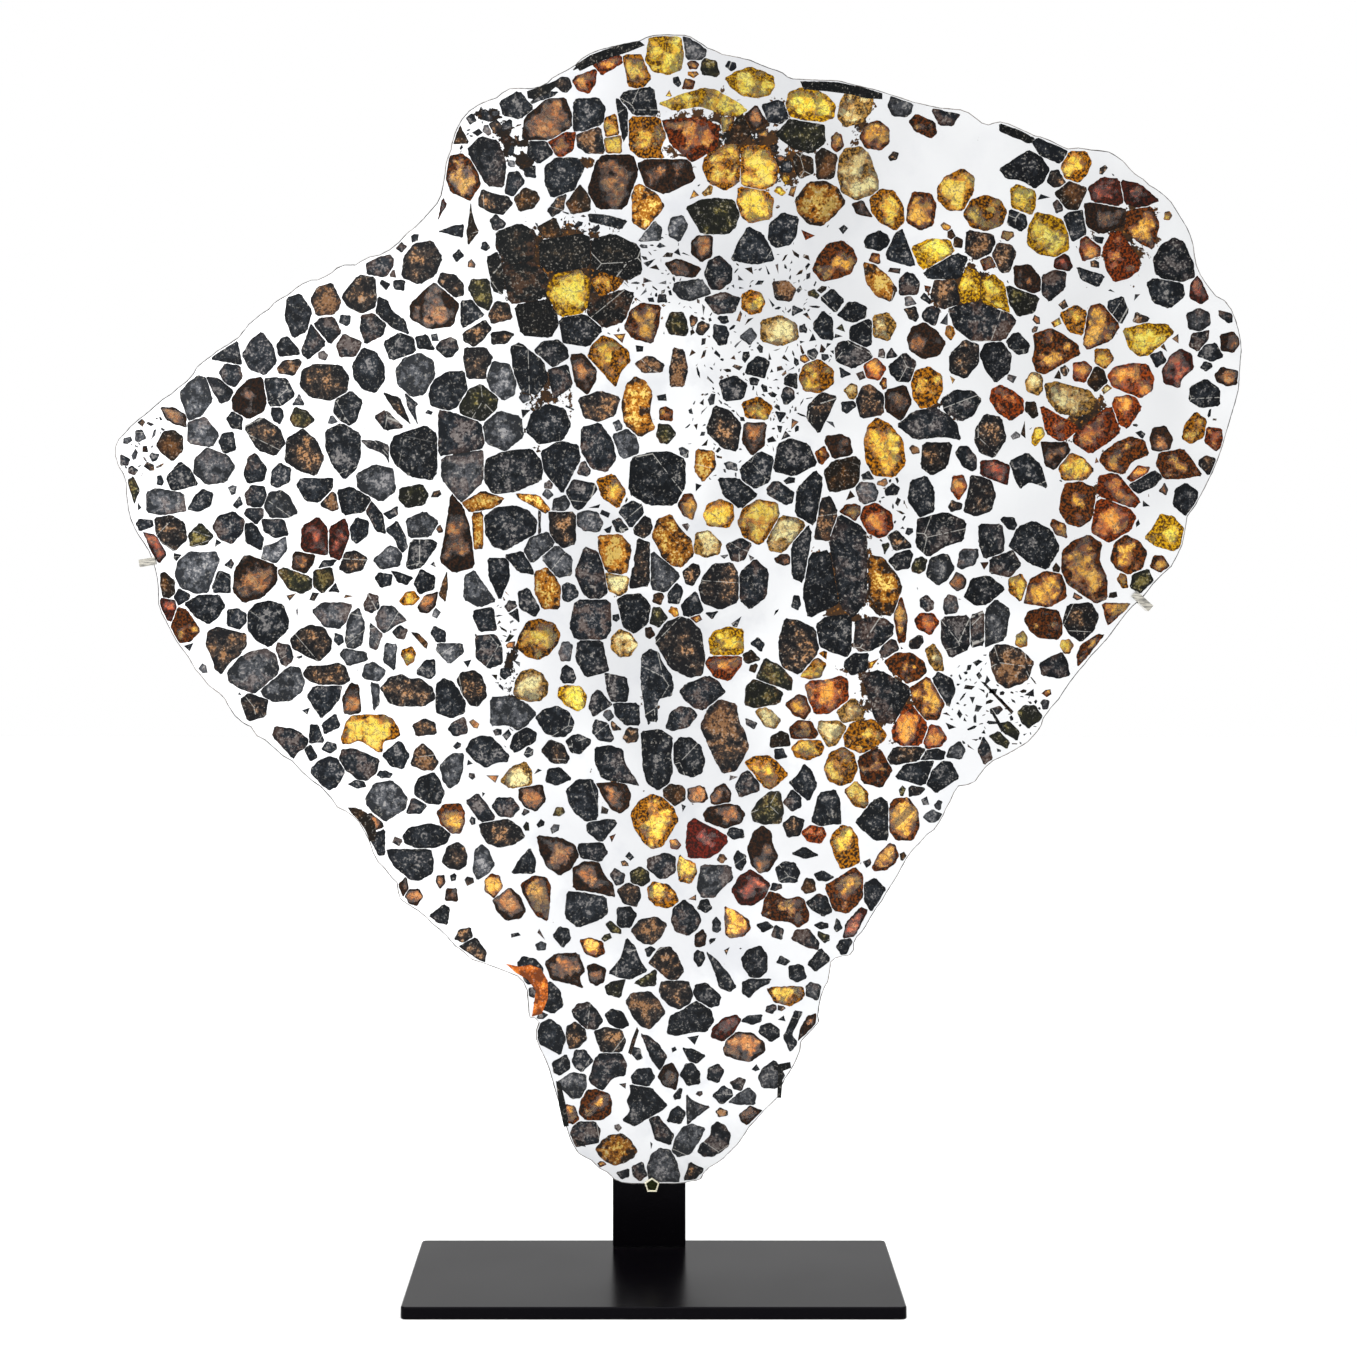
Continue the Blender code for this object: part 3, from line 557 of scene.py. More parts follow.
        "1163,248 1173,242 1188,248 1192,262 1190,275 1172,282 1158,272 1156,260",
        "1150,285 1160,278 1178,282 1180,295 1168,305 1155,300",
        "925,268 950,256 965,262 960,280 935,280",
        "952,308 975,302 1000,308 1010,322 1000,338 975,338 958,325",
        "1190,388 1205,380 1218,390 1218,405 1200,407 1189,400",
        "1175,490 1185,484 1196,492 1195,505 1185,515 1173,505",
        "1020,530 1033,525 1048,533 1055,548 1045,565 1030,560 1018,550 1013,545",
        "898,425 912,412 930,408 945,415 955,425 958,438 945,435 915,438",
        "942,400 955,391 972,392 980,400 972,415 960,421 945,412",
        "912,482 925,478 932,490 932,510 920,515 909,500",
        "918,520 945,513 965,522 962,540 945,545 928,556 916,545",
        "985,345 1000,342 1010,355 1008,372 995,382 986,370 980,355",
        "742,575 755,563 765,572 763,595 750,605 740,596",
        "800,490 815,475 828,490 826,510 815,525 798,515",
        "743,468 760,455 775,462 770,478 755,485 745,478",
        "720,480 738,480 755,495 740,508 725,495",
        "720,382 735,377 746,385 742,398 725,400",
        "550,372 566,368 570,385 556,395",
        "433,382 448,373 465,372 467,388 460,405 448,410 432,405 430,395",
        "398,440 410,436 425,431 437,440 440,460 430,475 412,472 400,462 394,450",
        "535,415 548,408 562,412 567,425 560,438 540,440 530,430",
        "490,462 505,455 530,453 540,465 538,478 515,488 495,490 487,478",
        "543,455 560,445 575,448 577,458 568,475 562,487 552,475 545,465",
        "636,462 650,458 668,457 680,463 680,485 672,500 650,500 634,490",
        "253,342 262,335 272,348 275,362 265,373 252,368 245,355",
        "338,400 350,392 361,402 355,420 347,425 336,412",
        "328,432 345,424 360,432 361,450 355,468 345,477 335,465 328,448",
        "340,492 355,488 370,498 365,510 345,513",
        "290,300 300,297 310,312 305,330 295,335 288,318",
        "472,152 482,142 495,145 502,165 500,183 487,182",
        "505,105 520,96 530,108 520,115 507,112",
        "310,696 316,687 326,686 340,688 338,698 330,708 322,715 316,706",
        "340,760 343,750 354,749 366,754 379,760 376,772 366,780 360,780 352,772 344,768",
        "313,768 320,761 330,757 340,760 345,770 340,780 336,786 327,790 318,784 312,778",
        "274,738 277,728 292,730 300,734 307,740 305,746 297,750 292,758 286,756 274,746",
        "438,684 444,679 452,682 458,690 465,702 464,712 452,717 438,712 436,698",
        "416,786 420,778 434,773 439,780 444,792 440,803 428,802 416,794",
        "404,836 410,828 430,824 442,827 450,834 446,842 430,848 418,847 406,842",
        "388,848 400,848 430,848 433,860 432,872 420,879 408,878 398,870 390,856",
        "467,801 478,794 486,804 494,816 492,822 482,822",
        "493,806 498,798 512,798 519,808 512,816 500,815",
        "580,600 606,600 607,628 600,640 580,639 574,626",
        "582,642 598,640 602,660 604,668 588,672 580,658",
        "606,674 626,678 628,690 626,702 612,700 608,690",
        "614,702 638,703 639,724 626,724 616,714",
        "642,732 660,730 672,738 670,758 672,770 668,782 658,789 648,782 644,768 643,750",
        "596,748 610,746 622,750 624,764 634,778 637,784 628,785 604,780 596,762",
        "567,790 578,780 592,780 597,790 597,818 586,820 576,812 570,802",
        "580,844 602,843 607,852 600,861 582,858 578,850",
        "513,872 520,860 530,849 535,860 534,872",
        "568,892 590,893 605,896 607,912 600,918 578,926 566,916",
        "868,678 886,674 902,682 904,698 900,708 896,718 880,716 874,698",
        "818,630 828,622 850,620 848,630 850,640 844,650 832,646 820,640",
        "946,630 946,622 970,620 970,642 952,651 946,640",
        "930,684 938,674 950,680 953,690 946,708 938,696",
        "899,776 906,766 930,761 930,770 924,783",
        "928,784 928,776 942,762 950,763 957,777 946,784 936,791",
        "920,758 922,750 934,748 944,752 942,760 930,760",
        "736,786 742,774 750,770 758,780 758,790 740,796",
        "790,782 798,776 804,765 810,770 816,784 808,800 798,792",
        "784,802 792,790 800,796 800,806 792,810",
        "813,820 820,794 834,791 838,800 839,822 830,822 820,824",
        "859,820 868,806 880,801 886,806 887,822 886,836 876,836 864,826",
        "866,886 874,882 884,892 878,906 872,906 867,898",
        "776,868 784,862 794,863 799,872 796,881 780,881",
        "674,745 680,738 690,738 700,746 704,760 701,772 692,776 680,772 674,760",
        "807,902 818,894 830,898 832,910 823,915 812,908",
        "672,920 674,908 684,900 692,906 698,914 700,920 696,928 688,934 676,930",
        "742,958 748,950 760,946 766,954 766,970 758,977 750,975 744,966",
        "707,952 716,960 728,974 735,986 730,990 720,986 716,972",
        "743,982 750,979 770,978 768,982 756,988 749,996 743,992",
        "792,938 796,930 808,929 818,942 817,948 808,946",
        "808,963 820,948 829,958 829,968 827,981 820,974",
        "837,946 841,939 849,938 853,945 850,952 842,954",
        "694,992 696,985 706,983 720,996 718,1004 710,1006 698,999",
        "672,1014 680,1012 696,1001 710,1010 713,1020 706,1030 694,1030 676,1034 668,1032 670,1020",
        "742,1020 748,1016 761,1015 760,1020 752,1023",
        "784,1036 790,1024 795,1011 801,1012 796,1022 790,1034 798,1044 790,1049",
        "684,1048 692,1049 704,1055 696,1062 690,1060",
        "681,1074 686,1064 692,1063 699,1072 699,1082 688,1084",
        "708,1078 709,1068 718,1064 723,1070 718,1081",
        "431,915 444,905 449,908 447,923 438,921",
        "554,935 560,927 568,929 570,938 563,946",
        "618,908 630,907 636,914 630,926 618,926",
        "610,972 622,958 627,939 634,946 640,962 646,970 630,978 620,976",
        "573,1010 578,1004 588,1002 596,1010 602,1020 596,1028 586,1027 575,1016",
        "538,1036 540,1024 550,1019 560,1026 565,1038 560,1053 548,1046 539,1042",
        "573,1060 576,1050 585,1050 592,1060 582,1070 576,1066",
        "590,1078 596,1058 600,1054 620,1052 626,1064 624,1074 612,1076 602,1089 592,1082",
        "606,1014 612,1009 622,1012 628,1024 620,1028 610,1022",
        "642,1034 648,1036 658,1044 666,1056 660,1068 652,1058",
        "632,1076 638,1069 650,1068 654,1076 648,1085 634,1084",
        "631,1084 650,1086 656,1094 666,1104 658,1112 640,1122 634,1124 624,1119 632,1110 628,1100 632,1092",
        "650,1118 658,1116 666,1126 673,1134 670,1143 656,1138 654,1130",
        "668,1120 672,1110 678,1106 685,1112 680,1122",
        "618,1172 628,1169 628,1175 622,1177",
        "633,1166 642,1162 646,1174 640,1179 634,1174",
        "972,620 984,616 982,640 970,642",
        "1040,664 1050,658 1062,653 1066,664 1068,674 1058,677 1042,674",
        "978,750 983,738 988,746 991,758 984,763",
        "795,540 806,525 812,545 806,580 796,575",
        "838,520 856,530 868,545 864,560 868,590 850,612 836,600 842,570 830,548",
        "808,560 828,556 836,575 832,600 812,610 806,585",
        "562,320 584,316 600,328 590,342 566,338",
       
       
       
    ],
}

# smaller crystals in the picture's pixels: column,row,width,height
readSmall = {
    "dark": "331,724,16,18 317,735,16,20 330,747,14,10 311,753,12,12 385,774,14,6 358,783,16,8 735,833,16,14 740,860,12,18 "
            "806,852,26,10 765,926,14,10 777,932,12,14 783,960,12,8 822,925,12,6 716,925,8,14 705,905,14,12 738,1083,14,12",
    "grey": "355,655,24,20 355,630,16,40 375,635,12,26 392,655,16,28 450,650,26,28 375,695,10,30",
    "brown": "404,886,8,18 414,896,16,16 441,880,8,12 452,895,16,14",
    "gold": "409,655,14,18 1021,640,8,12 1066,646,8,10",
    "mixed": "425,728,24,20",
}

# rim strips, crescents and slivers that lie on the metal or run over its edge
overlay = {
    "rust": ["506,963 520,966 530,964 541,968 548,980 548,998 542,1013 532,1016 534,1004 536,990 528,979 516,972"],
    "umber": ["348,807 356,807 367,812 375,822 377,833 375,841 370,841 366,830 360,821 352,813"],
    "black": [
        "527,92 538,88 549,84 556,81 558,86 548,94 534,100 528,99",
        "575,66 590,56 606,50 622,45 640,42 645,46 628,53 606,60 590,67 580,72",
        "800,82 838,83 862,88 882,94 882,100 866,99 850,95 826,92 803,90",
        "1000,124 1016,130 1034,139 1031,144 1012,138 1000,132",
        "556,1080 561,1082 566,1104 569,1125 564,1126 559,1104", "575,1138 584,1141 586,1146 577,1144",
        "774,1064 790,1061 791,1067 783,1070 781,1097 777,1097 778,1070 774,1069",
        "980,681 984,682 1013,711 1011,714", "991,713 994,713 1004,729 1001,732",
        "628,1052 632,1038 637,1026 639,1030 634,1046 631,1054",
    ],
}

# looks of the frame's own big crystals where they differ from their group's
bigLooks = {16: "glow", 1: "yellow", 2: "yellow", 3: "yellow", 4: "yellow", 5: "yellow", 6: "pale", 8: "glow", 10: "pale",
            17: "glow", 18: "gold", 19: "orange", 20: "orange", 26: "gold",
            27: "ruby", 28: "orange", 37: "grey", 38: "brown", 39: "olive", 40: "mixed", 42: "mixed",
            44: "mixed", 49: "mixed", 50: "mixed"}

matrix = {
    "rimClear": 0.25 * millimetre,      # least metal between a crystal and the rim
    "thinVein": 0.15 * millimetre,
    "seat": 0.05 * millimetre,          # gap round each crystal
    "readGrowth": 0.55 * millimetre,    # crystals were read a little inside their outlines
    "denseGrowth": 1.9 * millimetre,    # more than that where crystals touch
    "fillRadii": ((13.5, 1000), (11.0, 1900), (8.6, 2800), (6.4, 3600), (4.6, 4200), (3.3, 4600)),
    "mostReach": 9 * millimetre,
    "rag": 1.1 * millimetre,            # length and depth of the small breaks in an outline
    "ragDepth": 0.26 * millimetre,
}

# soft ovals on the slice: column, row, half width, half height, strength
warmZones = ((735, 150, 160, 85, 0.95), (955, 235, 70, 90, 0.8), (1125, 250, 75, 90, 0.85), (1120, 420, 110, 210, 0.8),
             (860, 700, 85, 105, 0.6), (870, 860, 60, 75, 0.6), (675, 845, 60, 60, 0.5), (720, 590, 80, 110, 0.3),
             (900, 460, 60, 90, 0.45), (560, 290, 60, 40, 0.3))
bareZones = ((980, 155, 95, 36, 1.0), (1025, 480, 28, 42, 1.0), (490, 925, 60, 38, 1.0), (965, 790, 30, 45, 0.9),
             (795, 850, 32, 24, 0.9), (590, 998, 28, 12, 0.8), (710, 1070, 18, 25, 0.6), (620, 90, 40, 20, 0.6),
             (723, 255, 20, 13, 1.0), (700, 357, 23, 32, 1.0), (688, 420, 16, 32, 1.0), (833, 427, 27, 19, 1.0),
             (362, 578, 30, 20, 1.0), (372, 540, 18, 18, 0.9), (300, 500, 12, 25, 1.0), (772, 605, 16, 45, 0.9),
             (918, 588, 18, 18, 0.9), (290, 712, 30, 14, 0.7), (975, 700, 26, 36, 0.8), (1090, 290, 30, 14, 0.9),
             (1020, 300, 16, 30, 0.9), (1158, 306, 34, 14, 0.9), (1160, 408, 30, 16, 0.8))
denseZones = ((845, 585, 50, 65, 1.0), (885, 700, 50, 60, 1.0), (657, 485, 28, 38, 0.9), (655, 685, 25, 42, 0.8),
              (975, 622, 30, 26, 0.9), (568, 282, 72, 55, 1.0), (520, 140, 45, 38, 0.9), (460, 452, 20, 40, 0.9),
              (506, 526, 32, 26, 0.8), (416, 458, 24, 28, 0.8), (640, 170, 50, 40, 0.7), (1105, 510, 36, 60, 0.6),
              (585, 620, 22, 60, 0.7), (1090, 210, 40, 30, 0.7), (513, 690, 22, 95, 0.9), (656, 560, 26, 110, 0.8),
              (655, 130, 135, 80, 0.75), (560, 500, 110, 120, 0.6), (1060, 545, 85, 100, 0.6), (830, 450, 90, 120, 0.5),
              (890, 850, 60, 90, 0.6), (1130, 260, 70, 90, 0.55), (720, 640, 70, 100, 0.5), (1090, 415, 62, 50, 0.9),
              (1085, 530, 44, 80, 0.8), (965, 285, 60, 55, 0.8), (240, 560, 130, 190, 0.35), (340, 330, 90, 80, 0.35))
# crushed, iron-stained rock takes the metal's place between the crystals
massZones = ((566, 270, 70, 50, 1.2), (735, 136, 96, 42, 0.7), (782, 168, 36, 40, 0.65), (858, 120, 24, 42, 0.6),
             (486, 115, 17, 9, 0.8), (501, 131, 15, 9, 0.8), (526, 163, 13, 13, 0.8), (584, 163, 10, 8, 0.7),
             (968, 290, 42, 40, 0.9), (889, 450, 18, 32, 0.6), (935, 412, 28, 22, 0.7), (545, 400, 44, 50, 0.5),
             (657, 482, 26, 30, 0.7), (640, 412, 16, 34, 0.5), (845, 585, 44, 60, 0.8), (885, 700, 44, 54, 0.7),
             (655, 685, 20, 36, 0.6), (1125, 235, 40, 50, 0.65), (460, 452, 16, 36, 0.6), (506, 526, 24, 20, 0.6),
             (512, 690, 10, 80, 0.6), (520, 140, 36, 30, 0.5), (1088, 420, 40, 34, 0.75), (1100, 500, 24, 44, 0.5), (610, 775, 24, 28, 0.5))
greyZones = ((490, 500, 90, 90, 0.8), (250, 560, 150, 200, 0.55))
fineZones = ((510, 140, 55, 40, 1.0), (580, 220, 26, 22, 0.8), (570, 275, 75, 55, 1.0), (660, 270, 30, 35, 0.8),
             (765, 340, 70, 100, 0.8), (890, 520, 16, 42, 0.8), (995, 705, 50, 52, 0.9), (142, 440, 28, 34, 1.0),
             (505, 670, 12, 75, 1.0), (740, 430, 50, 60, 0.6), (640, 300, 50, 40, 0.6))


def strength(zones, spot):
    best = 0.0
    for column, row, halfWidth, halfHeight, most in zones:
        centre = onSlice(column, row)
        reach = math.hypot((spot.x - centre.x) / halfWidth, (spot.y - centre.y) / halfHeight) / pixel
        best = max(best, most * min(1.0, max(0.0, 3.0 - 2.4 * reach)))
    return best


print("reading the rim and the big crystals")
loops = frontLoops("metal_matrix")
rim = max(loops, key=area)
rimSpots = []
for here, there in zip(rim, rim[1:] + rim[:1]):
    along = there - here
    inward = Vector((-along.y, along.x)).normalized()
    for step in range(max(1, round(along.length / millimetre))):
        rimSpots.append((here + along * step * millimetre / max(along.length, millimetre), inward))
rimTree = kdtree.KDTree(len(rimSpots))
for index, (spot, inward) in enumerate(rimSpots):
    rimTree.insert((spot.x, spot.y, 0.0), index)
rimTree.balance()


def rimDepth(spot):
    # how far inside the rim a place is, and which way is inwards
    place, index, distance = rimTree.find((spot.x, spot.y, 0.0))
    base, inward = rimSpots[index]
    return (spot - base).dot(inward), inward


def angular(spot, across, up, sides, turn=0.0):
    loop = []
    lean = random.uniform(0, math.tau)
    for step in range(sides):
        angle = lean + (step + random.uniform(-0.3, 0.3)) * math.tau / sides
        corner = Vector((math.cos(angle) * across, math.sin(angle) * up)) * random.uniform(0.86, 1.1)
        loop.append(spot + Matrix.Rotation(turn, 2) @ corner)
    return loop


crystals = []       # [outline, look]
for number in range(1, 51):
    family = "gold" if number <= 16 else "amber" if number <= 32 else "dark"
    crystals.append([frontLoops(f"olivine_{number:02d}")[0], bigLooks.get(number, family)])
bigCount = len(crystals)
for look, texts in read.items():
    for text in texts:
        loop = [onSlice(*map(float, corner.split(","))) for corner in text.split()]
        crystals.append([loop if area(loop) > 0 else loop[::-1], look])
for look, text in readSmall.items():
    for entry in text.split():
        column, row, width, height = map(float, entry.split(","))
        crystals.append([angular(onSlice(column, row), width * pixel / 2, height * pixel / 2, random.choice((4, 5, 6))),
                         look])


def insideRim(loop):
    for here, there in list(zip(loop, loop[1:] + loop[:1])):
        steps = max(1, round((there - here).length / millimetre))
        for step in range(steps):
            spot = here.lerp(there, step / steps)
            depth, inward = rimDepth(spot)
            if depth < matrix["rimClear"] and loop:
                loop = clipped(loop, spot + inward * (matrix["rimClear"] * 1.2 - depth), inward)
    return loop


for crystal in crystals[bigCount:]:
    dense = strength(denseZones, middle(crystal[0]))
    crystal[0] = grown(crystal[0], matrix["readGrowth"] + matrix["denseGrowth"] * dense)
for crystal in crystals:
    if crosses(crystal[0]):
        crystal[0] = hull(crystal[0])
    crystal[0] = insideRim(crystal[0])


def extent(loop):
    return min(p.x for p in loop), min(p.y for p in loop), max(p.x for p in loop), max(p.y for p in loop)


boxes = [extent(crystal[0]) for crystal in crystals]
density = [strength(denseZones, middle(crystal[0])) if crystal[0] else 0.0 for crystal in crystals]
for second in range(bigCount, len(crystals)):
    for first in range(second):
        a, b = boxes[first], boxes[second]
        gap = matrix["thinVein"] * (1 - 0.65 * min(density[first], density[second]))
        if a[0] > b[2] + gap or b[0] > a[2] + gap or a[1] > b[3] + gap or b[1] > a[3] + gap:
            continue
        if not crystals[first][0] or not crystals[second][0]:
            continue
        crystals[first][0], crystals[second][0] = pushApart(crystals[first][0], crystals[second][0], gap,
                                                            first < bigCount)
        boxes[second] = extent(crystals[second][0]) if crystals[second][0] else (0, 0, 0, 0)
crystals = [[tidyLoop(loop, 0.3 * millimetre), look] for loop, look in crystals]
crystals = [[hull(loop) if crosses(loop) else loop, look] for loop, look in crystals if len(loop) > 2]
crystals = [[loop, look] for loop, look in crystals if area(loop) > 1e-6]
print("crystals read by eye:", len(crystals))

print("filling the rest of the slice")


def boundaryTree(items):
    spots = []
    for index, (loop, look) in enumerate(items):
        for here, there in zip(loop, loop[1:] + loop[:1]):
            steps = max(1, round((there - here).length / (0.8 * millimetre)))
            spots += [(here.lerp(there, step / steps), index) for step in range(steps)]
    tree = kdtree.KDTree(len(spots))
    for place, (spot, index) in enumerate(spots):
        tree.insert((spot.x, spot.y, 0.0), place)
    tree.balance()
    return tree, spots


def holds(loop, spot):
    inside = False
    for a, b in zip(loop, loop[1:] + loop[:1]):
        if (a.y > spot.y) != (b.y > spot.y) and spot.x < a.x + (spot.y - a.y) / (b.y - a.y) * (b.x - a.x):
            inside = not inside
    return inside


readTree, readSpots = boundaryTree(crystals)
cell = 20 * millimetre
grid = {}
sites = []
for radius, darts in matrix["fillRadii"]:
    for dart in range(darts):
        spot = Vector((random.uniform(sliceLow.x, sliceHigh.x), random.uniform(sliceLow.z, sliceHigh.z)))
        size = radius * random.uniform(0.85, 1.15) * pixel
        vein = random.choice((0.3, 0.35, 0.45, 0.6, 0.9, 1.6)) * millimetre
        dense = strength(denseZones, spot)
        if random.random() < dense:
            vein = random.choice((0.13, 0.18, 0.26)) * millimetre
        if radius < 7 and random.random() > 0.3 + 0.7 * dense:
            continue
        depth, inward = rimDepth(spot)
        if depth < 0.55 * size + matrix["rimClear"] or random.random() < strength(bareZones, spot):
            continue
        if radius > 6 and random.random() < strength(fineZones, spot):
            continue
        place, index, distance = readTree.find((spot.x, spot.y, 0.0))
        if distance < size * 0.92 + vein * 0.5 or holds(crystals[readSpots[index][1]][0], spot):
            continue
        key = (int(spot.x // cell), int(spot.y // cell))
        near = [other for dx in (-1, 0, 1) for dy in (-1, 0, 1) for other in grid.get((key[0] + dx, key[1] + dy), ())]
        if any((spot - other[0]).length < (size + other[1]) * 0.95 + vein * 0.5 for other in near):
            continue
        site = (spot, size, vein)
        grid.setdefault(key, []).append(site)
        sites.append(site)

fill = []
for spot, size, vein in sites:
    dense = strength(denseZones, spot)
    reach = min(size * random.uniform(1.3 + 0.7 * dense, 2.1), matrix["mostReach"])
    sides = random.choice((5, 6, 7, 7, 8) if size > 2 * millimetre else (3, 4, 5, 5))
    loop = angular(spot, reach, reach * random.uniform(0.6, 1.0), sides, random.uniform(0, math.pi))
    key = (int(spot.x // cell), int(spot.y // cell))
    for dx in (-1, 0, 1):
        for dy in (-1, 0, 1):
            for other, otherSize, otherVein in grid.get((key[0] + dx, key[1] + dy), ()):
                gap = other - spot
                if 0 < gap.length < reach + min(otherSize * 2.1, matrix["mostReach"]):
                    share = (gap.length ** 2 + size ** 2 - otherSize ** 2) / (2 * gap.length)
                    way = gap.normalized()
                    loop = clipped(loop, spot + way * (share - (vein + otherVein) / 4), -way)
    for owner in {readSpots[index][1] for place, index, distance
                  in readTree.find_range((spot.x, spot.y, 0.0), reach * 1.2 + vein)}:
        if len(loop) > 2:
            loop = pushApart(crystals[owner][0], loop, max(vein * 0.7, matrix["thinVein"]), True)[1]
    loop = tidyLoop(insideRim(loop), 0.35 * millimetre) if len(loop) > 2 else []
    if len(loop) < 3 or area(loop) < 1.1e-6:
        continue
    if crosses(loop):
        loop = hull(loop)
    warm, grey, chance = strength(warmZones, spot), strength(greyZones, spot), random.random()
    if chance < warm * 0.95:
        look = random.choices(("gold", "yellow", "orange", "amber", "brown", "pale", "mixed", "red", "umber"),
                              (3.4, 1.0, 1.2, 5, 4, 0.9, 2, 0.7, 6))[0]
    elif random.random() < 0.55 * grey:
        look = random.choices(("grey", "mixed"), (3, 1))[0]
    else:
        look = random.choices(("dark", "grey", "mixed", "brown", "olive", "amber"), (12, 2.5, 2, 1.2, 0.6, 0.3))[0]
    fill.append([loop, look])
crystals += fill


def ragged(loop):
    # small breaks between the corners, inwards only so that neighbours stay apart
    broken = []
    for here, there in zip(loop, loop[1:] + loop[:1]):
        along = there - here
        inward = Vector((-along.y, along.x)).normalized()
        count = max(1, round(along.length / matrix["rag"]))
        broken.append(here)
        for step in range(1, count):
            share = (step + random.uniform(-0.3, 0.3)) / count
            broken.append(here + along * share + inward * matrix["ragDepth"] * random.random() ** 1.5)
    return broken


crystals = [[ragged(cornersCut(loop)) if area(loop) > 9e-6 else loop, look] for loop, look in crystals]
print("crystals in all:", len(crystals))


# ---------------------------------------------------------------- fine fragments

fragments = {"proud": 0.03 * millimetre, "darts": 5200, "least": 0.65 * millimetre, "most": 2.5 * millimetre,
             "cell": 4.0 * millimetre}

allTree, allSpots = boundaryTree(crystals)
shards, shardGrid = [], {}
for dart in range(fragments["darts"]):
    fine = 1 - dart / fragments["darts"]
    if dart % 4:
        zone = random.choices(fineZones, [zone[2] * zone[3] * zone[4] for zone in fineZones])[0]
        around, out = random.uniform(0, math.tau), math.sqrt(random.random()) * 1.05
        spot = onSlice(zone[0] + zone[2] * out * math.cos(around), zone[1] + zone[3] * out * math.sin(around))
    else:
        spot = onSlice(random.uniform(117, 1240), random.uniform(36, 1180))
    size = fragments["least"] + (fragments["most"] - fragments["least"]) * fine ** 1.7
    if rimDepth(spot)[0] < size * 1.3 or (dart % 4 == 0 and random.random() > 0.1 + strength(denseZones, spot)):
        continue
    key = (int(spot.x // fragments["cell"]), int(spot.y // fragments["cell"]))
    near = [other for dx in (-1, 0, 1) for dy in (-1, 0, 1) for other in shardGrid.get((key[0] + dx, key[1] + dy), ())]
    if any((spot - other[0]).length < (size + other[1]) * 0.8 for other in near):
        continue
    place, index, distance = allTree.find((spot.x, spot.y, 0.0))
    if distance < size * 0.8 or holds(crystals[allSpots[index][1]][0], spot):
        continue
    shardGrid.setdefault(key, []).append((spot, size))
    shard = angular(spot, size, size * random.uniform(0.16, 0.75), random.choice((3, 4, 4, 5)), random.uniform(0, math.tau))
    shards.append([shard, random.choice(("dark", "dark", "dark", "grey", "grey", "mixed", "umber"))])
for look, texts in overlay.items():
    for text in texts:
        loop = [onSlice(*map(float, corner.split(","))) for corner in text.split()]
        shards.append([loop if area(loop) > 0 else loop[::-1], look])
print("fine fragments:", len(shards))


# ---------------------------------------------------------------- meshes

def newPiece(name, mesh, material, slot, *nodes):
    mesh.name = name
    mesh.materials.clear()
    mesh.materials.append(material)
    piece = bpy.data.objects.new(name, mesh)
    bpy.context.scene.collection.objects.link(piece)
    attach(piece, "root")
    if nodes:
        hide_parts(*nodes)
    return piece


def plateMesh(outlines, thickness, middleY):
    curve = bpy.data.curves.new("outline", "CURVE")
    curve.dimensions = "2D"
    curve.fill_mode = "BOTH"
    curve.extrude = thickness / 2
    for loop in outlines:
        spline = curve.splines.new("POLY")
        spline.points.add(len(loop) - 1)
        for point, corner in zip(spline.points, loop):
            point.co = (corner.x, corner.y, 0.0, 1.0)
        spline.use_cyclic_u = True
    guide = bpy.data.objects.new("guide", curve)
    mesh = bpy.data.meshes.new_from_object(guide)
    bpy.data.objects.remove(guide, do_unlink=True)
    work = bmesh.new()
    work.from_mesh(mesh)
    bmesh.ops.remove_doubles(work, verts=work.verts, dist=1e-7)
    bmesh.ops.recalc_face_normals(work, faces=work.faces)
    work.to_mesh(mesh)
    work.free()
    mesh.transform(Matrix.Translation((0.0, middleY, 0.0)) @ Matrix.Rotation(math.radians(90), 4, "X"))
    return mesh


# edge, middle and heart colour of each look
looks = {
    "yellow": ((62, 38, 6), (238, 180, 6), (255, 238, 70)),
    "gold": ((26, 15, 6), (212, 132, 2), (255, 218, 50)),
    "pale": ((44, 32, 16), (204, 152, 70), (255, 244, 176)),
    "orange": ((28, 12, 5), (170, 70, 0), (255, 166, 18)),
    "amber": ((18, 12, 7), (132, 64, 2), (255, 184, 26)),
    "brown": ((14, 11, 9), (64, 34, 10), (196, 112, 24)),
    "umber": ((20, 15, 10), (42, 29, 18), (104, 68, 32)),
    "red": ((20, 11, 8), (92, 30, 9), (214, 80, 22)),
    "ruby": ((34, 11, 8), (120, 30, 12), (206, 72, 34)),
    "rust": ((92, 44, 16), (168, 84, 24), (226, 142, 52)),
    "olive": ((18, 19, 15), (36, 36, 24), (120, 108, 58)),
    "dark": ((11, 14, 18), (31, 35, 40), (104, 102, 102)),
    "black": ((7, 9, 10), (17, 18, 18), (52, 44, 34)),
    "grey": ((30, 32, 35), (68, 70, 74), (130, 129, 130)),
    "mixed": ((16, 16, 18), (50, 42, 37), (180, 132, 88)),
    "glow": ((34, 22, 12), (150, 92, 22), (244, 206, 104)),
}
groups = {"gold": ("yellow", "gold", "pale"), "amber": ("orange", "amber", "brown", "red", "ruby"),
          "dark": ("olive", "dark", "grey", "mixed", "glow", "umber", "black", "rust")}


